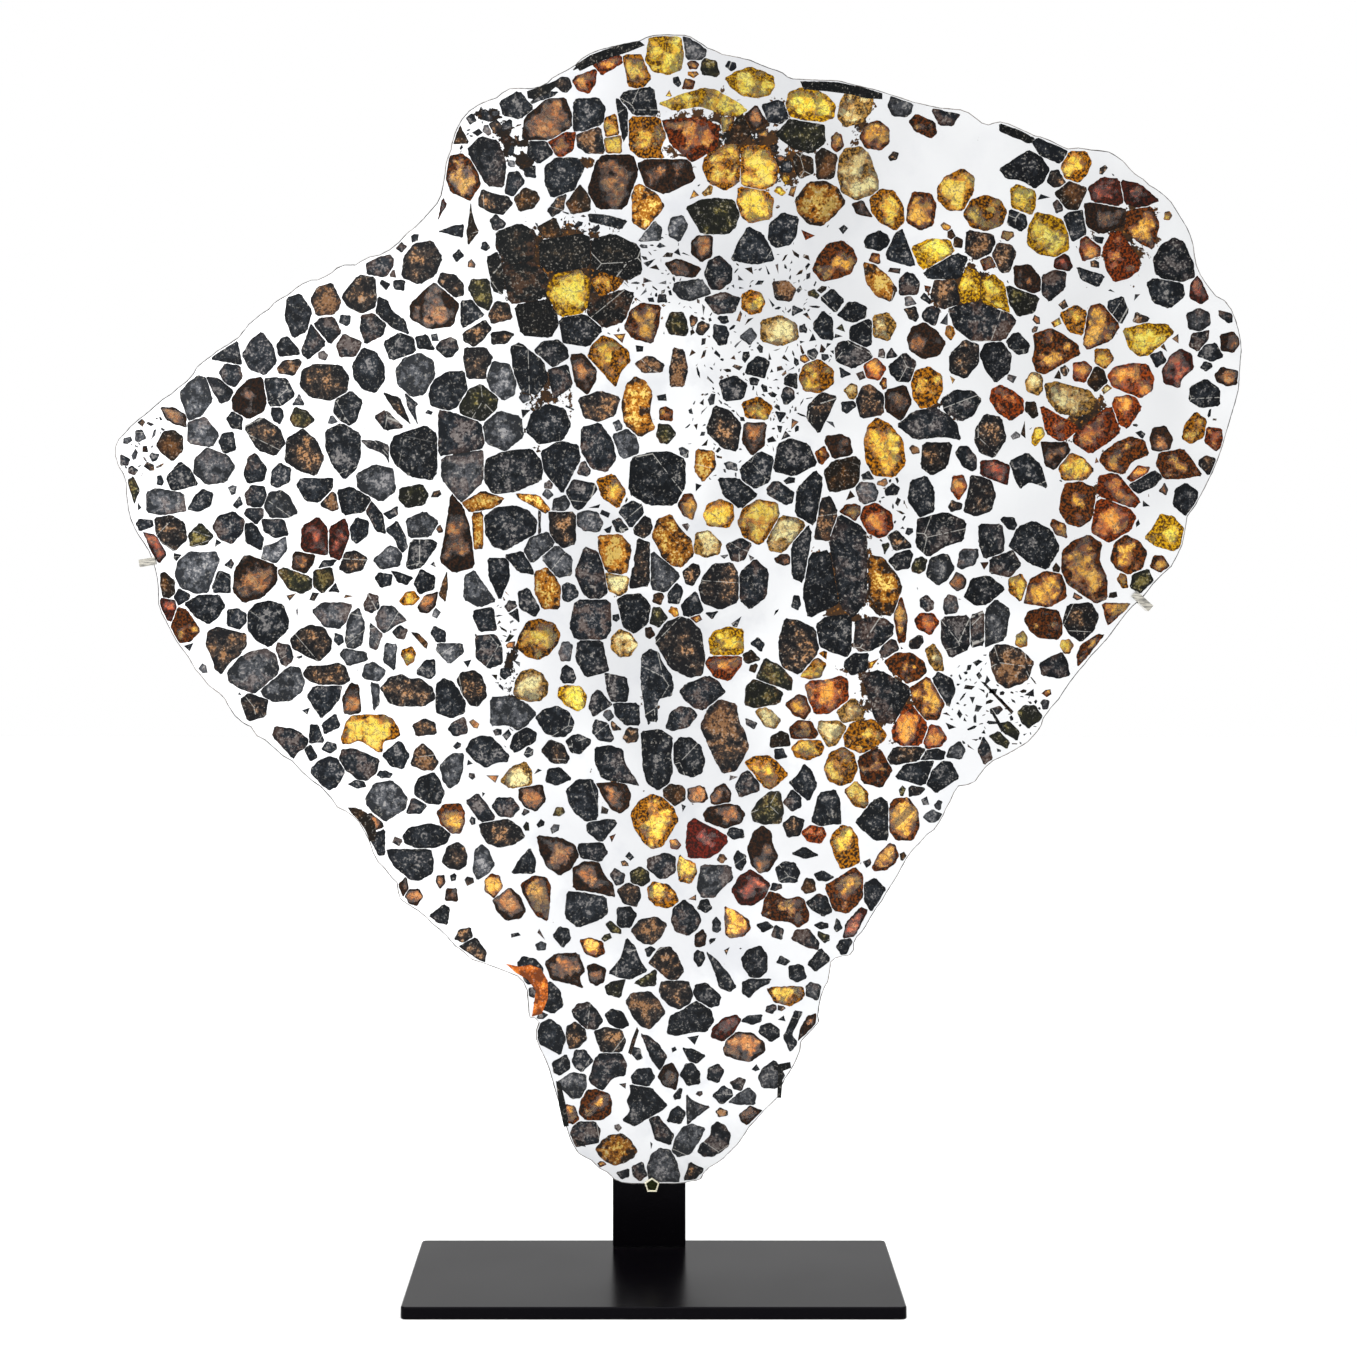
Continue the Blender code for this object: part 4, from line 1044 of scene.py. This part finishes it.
def crystalMesh(items, front, back, hearts=True):
    # flush prisms; each face has an inner ring, so a crystal's middle can be lighter than its edge
    verts, faces, heart, pick, tints = [], [], [], [], ([], [], [])
    for loop, look in items:
        count, centre = len(loop), middle(loop)
        star = hearts and all((a - centre).cross(b - centre) > 0 for a, b in zip(loop, loop[1:] + loop[:1]))
        start, chance, shade = len(verts), random.random(), random.uniform(0.72, 1.25)
        if look in groups["dark"]:
            # the dark crystals are greyer at the left
            shade *= 1.35 - 0.7 * (centre.x - sliceLow.x) / (sliceHigh.x - sliceLow.x)
        sides = []
        for level in (front, back):
            ring = len(verts)
            verts += [(p.x, level, p.y) for p in loop]
            heart += [0.0 if hearts else 0.4] * count
            if star:
                inner = len(verts)
                for p in loop:
                    q = centre.lerp(p, 0.7)
                    verts.append((q.x, level, q.y))
                verts.append((centre.x, level, centre.y))
                heart += [0.62] * count + [1.0]
            for i in range(count):
                j = (i + 1) % count
                if star:
                    quad, cap = (ring + i, ring + j, inner + j, inner + i), (inner + i, inner + j, inner + count)
                    faces += [quad, cap] if level == front else [quad[::-1], cap[::-1]]
            if not star:
                cap = tuple(range(ring, ring + count))
                faces.append(cap if level == front else cap[::-1])
            sides.append(ring)
        for i in range(count):
            j = (i + 1) % count
            faces.append((sides[0] + j, sides[0] + i, sides[1] + i, sides[1] + j))
        if hearts and not star:
            heart[start:] = [0.5] * (len(verts) - start)
        used = len(verts) - start
        pick += [chance] * used
        for tint, colour in zip(tints, looks[look]):
            strong = min(shade, 0.85) if look == "mixed" and tint is tints[2] else shade
            tint += list(Vector(rgb(*colour)) * strong) * used
    mesh = bpy.data.meshes.new("crystals")
    mesh.from_pydata(verts, [], faces)
    mesh.update()
    for name, kind, values in (("heart", "FLOAT", heart), ("pick", "FLOAT", pick),
                               *zip(("edgeTint", "middleTint", "heartTint"), ("FLOAT_VECTOR",) * 3, tints)):
        attribute = mesh.attributes.new(name, kind, "POINT")
        attribute.data.foreach_set("value" if kind == "FLOAT" else "vector", values)
    return mesh


# ---------------------------------------------------------------- materials

def metalMaterial():
    material, wire = newMaterial("polished iron nickel")
    spot = wire.add("ShaderNodeTexCoord", output=3)
    crushed = 0.0
    for column, row, halfWidth, halfHeight, most in massZones:
        centre = onSlice(column, row)
        fit = Vector((1 / (halfWidth * pixel), 0.0, 1 / (halfHeight * pixel)))
        shift = Vector((-centre.x * fit.x, 0.0, -centre.y * fit.z))
        place = wire.add("ShaderNodeVectorMath", {"operation": "MULTIPLY_ADD"}, {0: spot, 1: fit, 2: shift})
        reach = wire.add("ShaderNodeVectorMath", {"operation": "LENGTH"}, {0: place}, 1)
        crushed = wire.math("MAXIMUM", crushed, most * (1.3 - reach))
    patch = wire.add("ShaderNodeTexNoise", None, {"Vector": spot, "Scale": 170.0, "Detail": 4.0, "Roughness": 0.65})
    cloud = wire.add("ShaderNodeTexNoise", None, {"Vector": spot, "Scale": 11.0, "Detail": 3.0})
    blotch = wire.add("ShaderNodeTexNoise", None, {"Vector": spot, "Scale": 55.0, "Detail": 4.0, "Roughness": 0.6})
    stretched = wire.add("ShaderNodeMapping", None, {"Vector": spot, "Rotation": (0.0, 0.35, 0.0),
                                                     "Scale": (60.0, 60.0, 2200.0)})
    scratch = wire.add("ShaderNodeTexNoise", None, {"Vector": stretched, "Scale": 1.0, "Detail": 2.0})
    axes = wire.add("ShaderNodeSeparateXYZ", None, {"Vector": spot})
    # painted shade: the polished metal's colour is greyer towards the right and in soft clouds and blotches
    wearAndShade = (axes * 5.0 + cloud).between(-0.1, 0.3)
    darkerTone = wire.mix(cloud.between(0.36, 0.62), (*rgb(199, 200, 202), 1), (*rgb(221, 222, 223), 1))
    darkerTone = wire.mix(blotch.between(0.48, 0.72, 0.0, 0.5), darkerTone, (*rgb(186, 188, 193), 1))
    darkerTone = wire.mix(axes.between(0.02, 0.14, 0.0, 0.6), darkerTone, (*rgb(229, 230, 231), 1))
    light = wire.mix(wearAndShade, (*rgb(243, 243, 244), 1), darkerTone)
    speck = wire.add("ShaderNodeTexNoise", None, {"Vector": spot, "Scale": 800.0, "Detail": 2.0})
    rusty = axes.between(-0.052, -0.036, 0.15, 1.0)
    rock = wire.mix(patch.between(0.40, 0.62) * rusty, (*rgb(15, 14, 13), 1), (*rgb(58, 38, 20), 1))
    rock = wire.mix(speck.between(0.60, 0.70, 0.0, 0.75) * rusty, rock, (*rgb(150, 96, 34), 1))
    mask = (crushed + (patch - 0.5) * 2.2).between(0.50, 0.56)
    light = wire.mix(mask, light, rock)
    rough = cloud.between(0.3, 0.7, 0.26, 0.36) + blotch * 0.06
    bump = wire.add("ShaderNodeBump", None, {"Strength": 0.05, "Distance": 0.0002, "Height": scratch})
    shader = wire.add("ShaderNodeBsdfPrincipled", None, {"Base Color": light, "Metallic": 1.0 - mask, "Roughness": rough,
                                                         "Specular IOR Level": 0.1, "Normal": bump})
    closeMaterial(wire, shader)
    return material


def olivineMaterial(name, clear, shaded=0.0):
    material, wire = newMaterial(name)
    spot = wire.add("ShaderNodeTexCoord", output=3)
    heart, pick = (wire.add("ShaderNodeAttribute", {"attribute_name": name}, output=2) for name in ("heart", "pick"))
    edge, centre, core = (wire.add("ShaderNodeAttribute", {"attribute_name": name}, output=1)
                          for name in ("edgeTint", "middleTint", "heartTint"))
    # every crystal sees its own part of the patterns
    own = wire.add("ShaderNodeVectorMath", {"operation": "MULTIPLY_ADD"}, {0: pick, 1: (3.1, 4.7, 5.3), 2: spot})
    mass = wire.add("ShaderNodeTexNoise", None, {"Vector": own, "Scale": 150.0, "Detail": 1.0})
    cloud = wire.add("ShaderNodeTexNoise", None, {"Vector": own, "Scale": 380.0, "Detail": 3.0, "Roughness": 0.7})
    grain = wire.add("ShaderNodeTexNoise", None, {"Vector": own, "Scale": 1100.0, "Detail": 2.0, "Roughness": 0.6})
    warp = wire.add("ShaderNodeTexNoise", None, {"Vector": own, "Scale": 500.0, "Detail": 1.0}, 1)
    bent = wire.add("ShaderNodeVectorMath", {"operation": "MULTIPLY_ADD"}, {0: warp, 1: (0.003, 0.003, 0.003), 2: own})
    plates = wire.add("ShaderNodeTexVoronoi", None, {"Vector": bent, "Scale": 480.0}, 1)
    facet = wire.add("ShaderNodeSeparateColor", None, {"Color": plates})
    lot = wire.math("FRACT", pick * 7.3)
    if clear:
        field = heart * 0.8 + (mass - 0.5) * 2.2 + (cloud - 0.5) * 1.3 + (lot - 0.5) * 0.35 - shaded
        lit = field.between(0.20, 0.48)
        tint = wire.mix(lit, edge, centre)
        tint = wire.mix((field + (facet - 0.5) * 0.5).between(0.40, 0.78), tint, core)
        cracks = wire.add("ShaderNodeTexVoronoi", {"feature": "DISTANCE_TO_EDGE"}, {"Vector": bent, "Scale": 260.0})
        # painted highlight: pale glints on the brightest fracture facets
        glint = wire.mix(0.35 - shaded, core, (*rgb(255, 244, 176), 1))
        tint = wire.mix((facet * field).between(0.38, 0.58, 0.0, 0.9), tint, glint)
        tint = wire.mix(grain.between(0.57, 0.65, 0.0, 0.55), tint, wire.mix(0.5, edge, centre))
        tint = wire.mix(cracks.between(0.0, 0.09, 0.9, 0.0) * grain.between(0.36, 0.54), tint, (*rgb(30, 16, 6), 1))
        height = facet * 0.6 + cracks.between(0.0, 0.05)
        bump = wire.add("ShaderNodeBump", None, {"Strength": 0.3, "Distance": 0.0002, "Height": height})
        shader = wire.add("ShaderNodeBsdfPrincipled", None,
                          {"Base Color": tint, "Roughness": grain.between(0.3, 0.8, 0.04, 0.22), "Normal": bump,
                           "IOR": 1.65, "Specular IOR Level": 0.1, "Transmission Weight": 0.85})
        # the crushed, iron-stained parts let no light through
        stained = wire.mix(grain.between(0.42, 0.62), edge, wire.mix(0.45, edge, centre))
        shade = wire.add("ShaderNodeBsdfPrincipled", None,
                         {"Base Color": stained, "Roughness": grain.between(0.3, 0.8, 0.12, 0.34), "Normal": bump,
                          "IOR": 1.5, "Specular IOR Level": 0.1})
        shader = wire.add("ShaderNodeMixShader", None, {0: lit, 1: shade, 2: shader})
        volume = wire.add("ShaderNodeVolumeAbsorption", None, {"Color": (1.0, 0.85, 0.5, 1.0), "Density": 40.0})
        closeMaterial(wire, shader, volume)
    else:
        field = heart * 0.55 + (mass - 0.5) * 1.5 + (cloud - 0.5) * 2.4 + (lot - 0.5) * 0.3
        tint = wire.mix(field.between(0.08, 0.45), edge, centre)
        tint = wire.mix((field + (grain - 0.5) * 1.6).between(0.48, 0.95), tint, core)
        rust = lot.between(0.5, 0.9, 0.0, 0.6) * (mass + cloud).between(0.96, 1.18)
        tint = wire.mix(rust, tint, (*rgb(66, 42, 28), 1))
        tint = wire.mix(grain.between(0.56, 0.70, 0.0, 0.6) * cloud.between(0.38, 0.6), tint, (*rgb(146, 142, 134), 1))
        tint = wire.mix(grain.between(0.30, 0.44, 0.8, 0.0), tint, edge)
        lines = wire.add("ShaderNodeTexVoronoi", {"feature": "DISTANCE_TO_EDGE"}, {"Vector": own, "Scale": 46.0})
        tint = wire.mix(lines.between(0.003, 0.008, 0.6, 0.0) * pick.between(0.68, 0.78) * cloud.between(0.42, 0.5),
                        tint, (*rgb(176, 174, 168), 1))
        bump = wire.add("ShaderNodeBump", None, {"Strength": 0.15, "Distance": 0.0002, "Height": grain + cloud})
        shader = wire.add("ShaderNodeBsdfPrincipled", None,
                          {"Base Color": tint, "Roughness": grain.between(0.3, 0.8, 0.12, 0.34), "Normal": bump,
                           "IOR": 1.5, "Specular IOR Level": 0.1})
        closeMaterial(wire, shader)
    return material


def crustMaterial():
    material, wire = newMaterial("weathered rim")
    spot = wire.add("ShaderNodeTexCoord", output=3)
    patch = wire.add("ShaderNodeTexNoise", None, {"Vector": spot, "Scale": 70.0, "Detail": 5.0})
    speck = wire.add("ShaderNodeTexNoise", None, {"Vector": spot, "Scale": 700.0, "Detail": 3.0})
    tint = wire.mix(patch.between(0.42, 0.62), (*rgb(44, 42, 42), 1), (*rgb(128, 122, 118), 1))
    tint = wire.mix(speck.between(0.5, 0.7), tint, (*rgb(48, 34, 26), 1))
    bump = wire.add("ShaderNodeBump", None, {"Strength": 0.5, "Distance": 0.0004, "Height": speck + patch})
    shader = wire.add("ShaderNodeBsdfPrincipled", None, {"Base Color": tint, "Metallic": patch.between(0.4, 0.7, 0.2, 0.8),
                                                         "Roughness": speck.between(0.3, 0.7, 0.4, 0.7),
                                                         "Normal": bump})
    closeMaterial(wire, shader)
    return material


def standMaterial():
    material, wire = newMaterial("satin black stand")
    spot = wire.add("ShaderNodeTexCoord", output=3)
    orange = wire.add("ShaderNodeTexNoise", None, {"Vector": spot, "Scale": 900.0, "Detail": 2.0})
    smear = wire.add("ShaderNodeTexNoise", None, {"Vector": spot, "Scale": 14.0, "Detail": 4.0})
    dust = wire.add("ShaderNodeTexNoise", None, {"Vector": spot, "Scale": 2400.0, "Detail": 2.0})
    tint = wire.mix(dust.between(0.70, 0.80), (*rgb(4, 3, 5), 1), (*rgb(40, 40, 44), 1))
    rough = smear.between(0.3, 0.7, 0.16, 0.22) + orange * 0.05
    bump = wire.add("ShaderNodeBump", None, {"Strength": 0.08, "Distance": 0.0002, "Height": orange})
    shader = wire.add("ShaderNodeBsdfPrincipled", None, {"Base Color": tint, "Roughness": rough, "Normal": bump,
                                                         "IOR": 1.42, "Specular IOR Level": 0.055,
                                                         "Specular Tint": (0.9, 0.89, 1.0, 1.0)})
    closeMaterial(wire, shader)
    return material


def clawMaterial(name, darkerTone, bright):
    material, wire = newMaterial(name)
    spot = wire.add("ShaderNodeTexCoord", output=3)
    brush = wire.add("ShaderNodeMapping", None, {"Vector": spot, "Scale": (300.0, 300.0, 4000.0)})
    line = wire.add("ShaderNodeTexNoise", None, {"Vector": brush, "Scale": 1.0, "Detail": 3.0})
    tint = wire.mix(line.between(0.35, 0.65), (*rgb(*darkerTone), 1), (*rgb(*bright), 1))
    bump = wire.add("ShaderNodeBump", None, {"Strength": 0.15, "Distance": 0.0001, "Height": line})
    shader = wire.add("ShaderNodeBsdfPrincipled", None, {"Base Color": tint, "Metallic": 1.0,
                                                         "Roughness": line.between(0.3, 0.7, 0.22, 0.4),
                                                         "Normal": bump})
    closeMaterial(wire, shader)
    return material


# ---------------------------------------------------------------- the slice

print("making the metal plate")
pockets = [grown(loop, matrix["seat"] * (1 - 0.75 * strength(denseZones, middle(loop)))) for loop, look in crystals]
plate = plateMesh([rim] + pockets, sliceBack - sliceFront, (sliceFront + sliceBack) / 2)
newPiece("metal_plate", plate, metalMaterial(), "iron_nickel", "metal_matrix")
covered = sum(face.area for face in plate.polygons if face.normal.y < -0.9)
wanted = area(rim) - sum(area(loop) for loop in pockets)
print("plate faces:", len(plate.polygons), "front area over the wanted one:", round(covered / wanted, 4))
print("metal share of the face:", round(wanted / area(rim), 3))

sunk = 0.02 * millimetre
nodeSpans = {"gold": range(1, 17), "amber": range(17, 33), "dark": range(33, 51)}
for family, members in groups.items():
    mesh = crystalMesh([item for item in crystals if item[1] in members], sliceFront + sunk, sliceBack - sunk)
    material = olivineMaterial(f"{family} olivine", family != "dark", 0.12 if family == "amber" else 0.02)
    newPiece(f"{family}_crystals", mesh, material, f"olivine_{family}",
             *[f"olivine_{number:02d}" for number in nodeSpans[family]])
    print(family, "crystals made, faces:", len(mesh.polygons))

shardMesh = crystalMesh(shards, sliceFront - fragments["proud"], sliceBack + fragments["proud"], hearts=False)
newPiece("fine_fragments", shardMesh, olivineMaterial("dark fragments", False), "olivine_dark")

crust = {"out": 0.30 * millimetre, "rough": 0.35 * millimetre}


def crustMesh():
    # a thin rough skin round the slice's sawn outline
    rings = []
    profile = ((-1.0, -0.96), (0.35, -0.97), (0.9, -0.6), (1.0, 0.0), (0.9, 0.6), (0.35, 0.97), (-1.0, 0.96))
    half, middleY = (sliceBack - sliceFront) / 2, (sliceBack + sliceFront) / 2
    for spot, inward in rimSpots:
        ring = []
        for out, across in profile:
            level = middleY + across * half
            wave = noise.noise(Vector((spot.x, level, spot.y)) * 600) * 0.5 + 0.5
            push = crust["out"] * out + (crust["rough"] * wave if out > 0 else 0.0)
            ring.append((spot.x - inward.x * push, level, spot.y - inward.y * push))
        rings.append(ring)
    verts = [vert for ring in rings for vert in ring]
    wide, faces = len(profile), []
    for i in range(len(rings)):
        j = (i + 1) % len(rings)
        for k in range(wide):
            m = (k + 1) % wide
            faces.append((i * wide + k, j * wide + k, j * wide + m, i * wide + m))
    mesh = bpy.data.meshes.new("crust")
    mesh.from_pydata(verts, [], faces)
    work = bmesh.new()
    work.from_mesh(mesh)
    bmesh.ops.recalc_face_normals(work, faces=work.faces)
    work.to_mesh(mesh)
    work.free()
    return mesh


newPiece("rim_crust", crustMesh(), crustMaterial(), "iron_nickel")

print("finishing the stand")
standBlack = standMaterial()
clawMetal = clawMaterial("brushed claw metal", (120, 119, 116), (196, 192, 180))
# painted highlight: the cup's metal is a brighter copy of the claw metal
cupHighlightMetal = clawMaterial("claw metal painted bright", (204, 198, 170), (246, 242, 220))
for name in ("base_plate", "post", "left_arm", "right_arm"):
    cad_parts[name].data.materials[0] = standBlack
for name in ("left_claw", "right_claw"):
    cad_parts[name].data.materials[0] = clawMetal

claw = {"radius": 3.05 * millimetre, "rim": 0.6 * millimetre, "recess": 0.6 * millimetre, "edge": 0.14 * millimetre,
        "shelf": 3.4 * millimetre}


def bottomClaw():
    # a small five-sided cup on a shelf; its rim is painted bright as a highlight and its floor is a sheet painted dark
    # as a reflection
    low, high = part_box("bottom_claw")
    lip = 1.3 * millimetre
    centre = Vector(((low.x + high.x) / 2, low.y + lip / 2, high.z - claw["radius"] * 0.86))
    bpy.ops.object.select_all(action="DESELECT")
    bpy.ops.mesh.primitive_cylinder_add(vertices=5, radius=claw["radius"], depth=lip, location=centre,
                                        rotation=(math.radians(90), 0.0, 0.0))
    cup = bpy.context.object
    bpy.ops.object.transform_apply(location=True, rotation=True, scale=True)
    bpy.ops.object.mode_set(mode="EDIT")
    bpy.ops.mesh.select_mode(type="FACE")
    work = bmesh.from_edit_mesh(cup.data)
    for face in work.faces:
        face.select_set(face.normal.y < -0.9)
    bmesh.update_edit_mesh(cup.data)
    bpy.ops.mesh.inset(thickness=claw["rim"])
    bpy.ops.mesh.extrude_region_shrink_fatten(TRANSFORM_OT_shrink_fatten={"value": -claw["recess"]})
    bpy.ops.object.mode_set(mode="OBJECT")
    bevel = cup.modifiers.new("worn edges", "BEVEL")
    bevel.width, bevel.segments, bevel.limit_method = claw["edge"], 3, "ANGLE"
    bpy.ops.object.modifier_apply(modifier=bevel.name)
    shelfLow, shelfHigh = low.z + 0.3 * millimetre, centre.z
    bpy.ops.mesh.primitive_cube_add(size=1.0, location=(centre.x, (low.y + lip * 0.8 + high.y) / 2, (shelfLow + shelfHigh) / 2 - 0.2 * millimetre))
    shelf = bpy.context.object
    shelf.scale = (claw["shelf"], high.y - low.y - lip * 0.8, shelfHigh - shelfLow - 1.2 * millimetre)
    bpy.ops.object.transform_apply(location=True, rotation=True, scale=True)
    cup.select_set(True)
    bpy.context.view_layer.objects.active = cup
    bpy.ops.object.join()
    # painted reflection: a flat sheet just in front of the recess bottom that carries the cup's dark floor colour
    reflectionSheet = bpy.data.meshes.new("floor")
    ring = [(centre.x + (claw["radius"] - claw["rim"] * 1.25) * math.sin(step * math.tau / 5),
             low.y + claw["recess"] - 0.05 * millimetre,
             centre.z + (claw["radius"] - claw["rim"] * 1.25) * math.cos(step * math.tau / 5)) for step in range(5)]
    reflectionSheet.from_pydata(ring, [], [(0, 1, 2, 3, 4)])
    return cup, reflectionSheet


cup, cupReflectionSheet = bottomClaw()
newPiece("bottom_cup", cup.data.copy(), cupHighlightMetal, "claw_metal", "bottom_claw")
bpy.data.objects.remove(cup, do_unlink=True)
# painted reflection: the sheet is coloured dark olive
newPiece("cup_reflection_sheet", cupReflectionSheet, clawMaterial("claw floor painted reflection", (16, 18, 10), (44, 48, 24)), "stand_black")


# ---------------------------------------------------------------- floor, light and camera

studio = {"floorSize": 6.0, "world": 1.0, "front": 14.0, "top": 60.0}

bpy.ops.object.select_all(action="DESELECT")
bpy.ops.mesh.primitive_plane_add(size=studio["floorSize"], location=(0.0, 0.0, 0.0))
floor = bpy.context.object
floor.name = "floor"
material, wire = newMaterial("pale floor")
shader = wire.add("ShaderNodeBsdfPrincipled", None, {"Base Color": (0.93, 0.93, 0.93, 1.0), "Roughness": 0.7,
                                                     "Specular IOR Level": 0.1})
closeMaterial(wire, shader)
floor.data.materials.append(material)

world = bpy.data.worlds.new("studio")
bpy.context.scene.world = world
world.use_nodes = True
world.node_tree.nodes["Background"].inputs["Color"].default_value = (1.0, 1.0, 1.0, 1.0)
world.node_tree.nodes["Background"].inputs["Strength"].default_value = studio["world"]


def softLight(name, place, aim, size, power):
    light = bpy.data.lights.new(name, "AREA")
    light.shape = "RECTANGLE"
    light.size, light.size_y = size
    light.energy = power
    lamp = bpy.data.objects.new(name, light)
    lamp.location = place
    lamp.rotation_euler = (Vector(aim) - Vector(place)).to_track_quat("-Z", "Y").to_euler()
    bpy.context.scene.collection.objects.link(lamp)


softLight("top box", (0.0, -0.1, 2.2), (0.0, 0.0, 0.0), (2.4, 2.4), studio["top"])
softLight("front box", (-0.9, -2.6, 1.2), (0.0, 0.0, 0.25), (1.6, 1.6), studio["front"])

camera = bpy.data.objects.new("camera", bpy.data.cameras.new("camera"))
camera.data.lens = 78.39
camera.data.sensor_width = 36.0
camera.data.shift_x, camera.data.shift_y = 0.01835, -0.10427       # the picture is cropped off centre
camera.location = (0.0, -1.099, 0.2779)
camera.rotation_euler = (math.radians(90), 0.0, 0.0)
bpy.context.scene.collection.objects.link(camera)
bpy.context.scene.camera = camera
bpy.context.scene.view_settings.view_transform = "Standard"
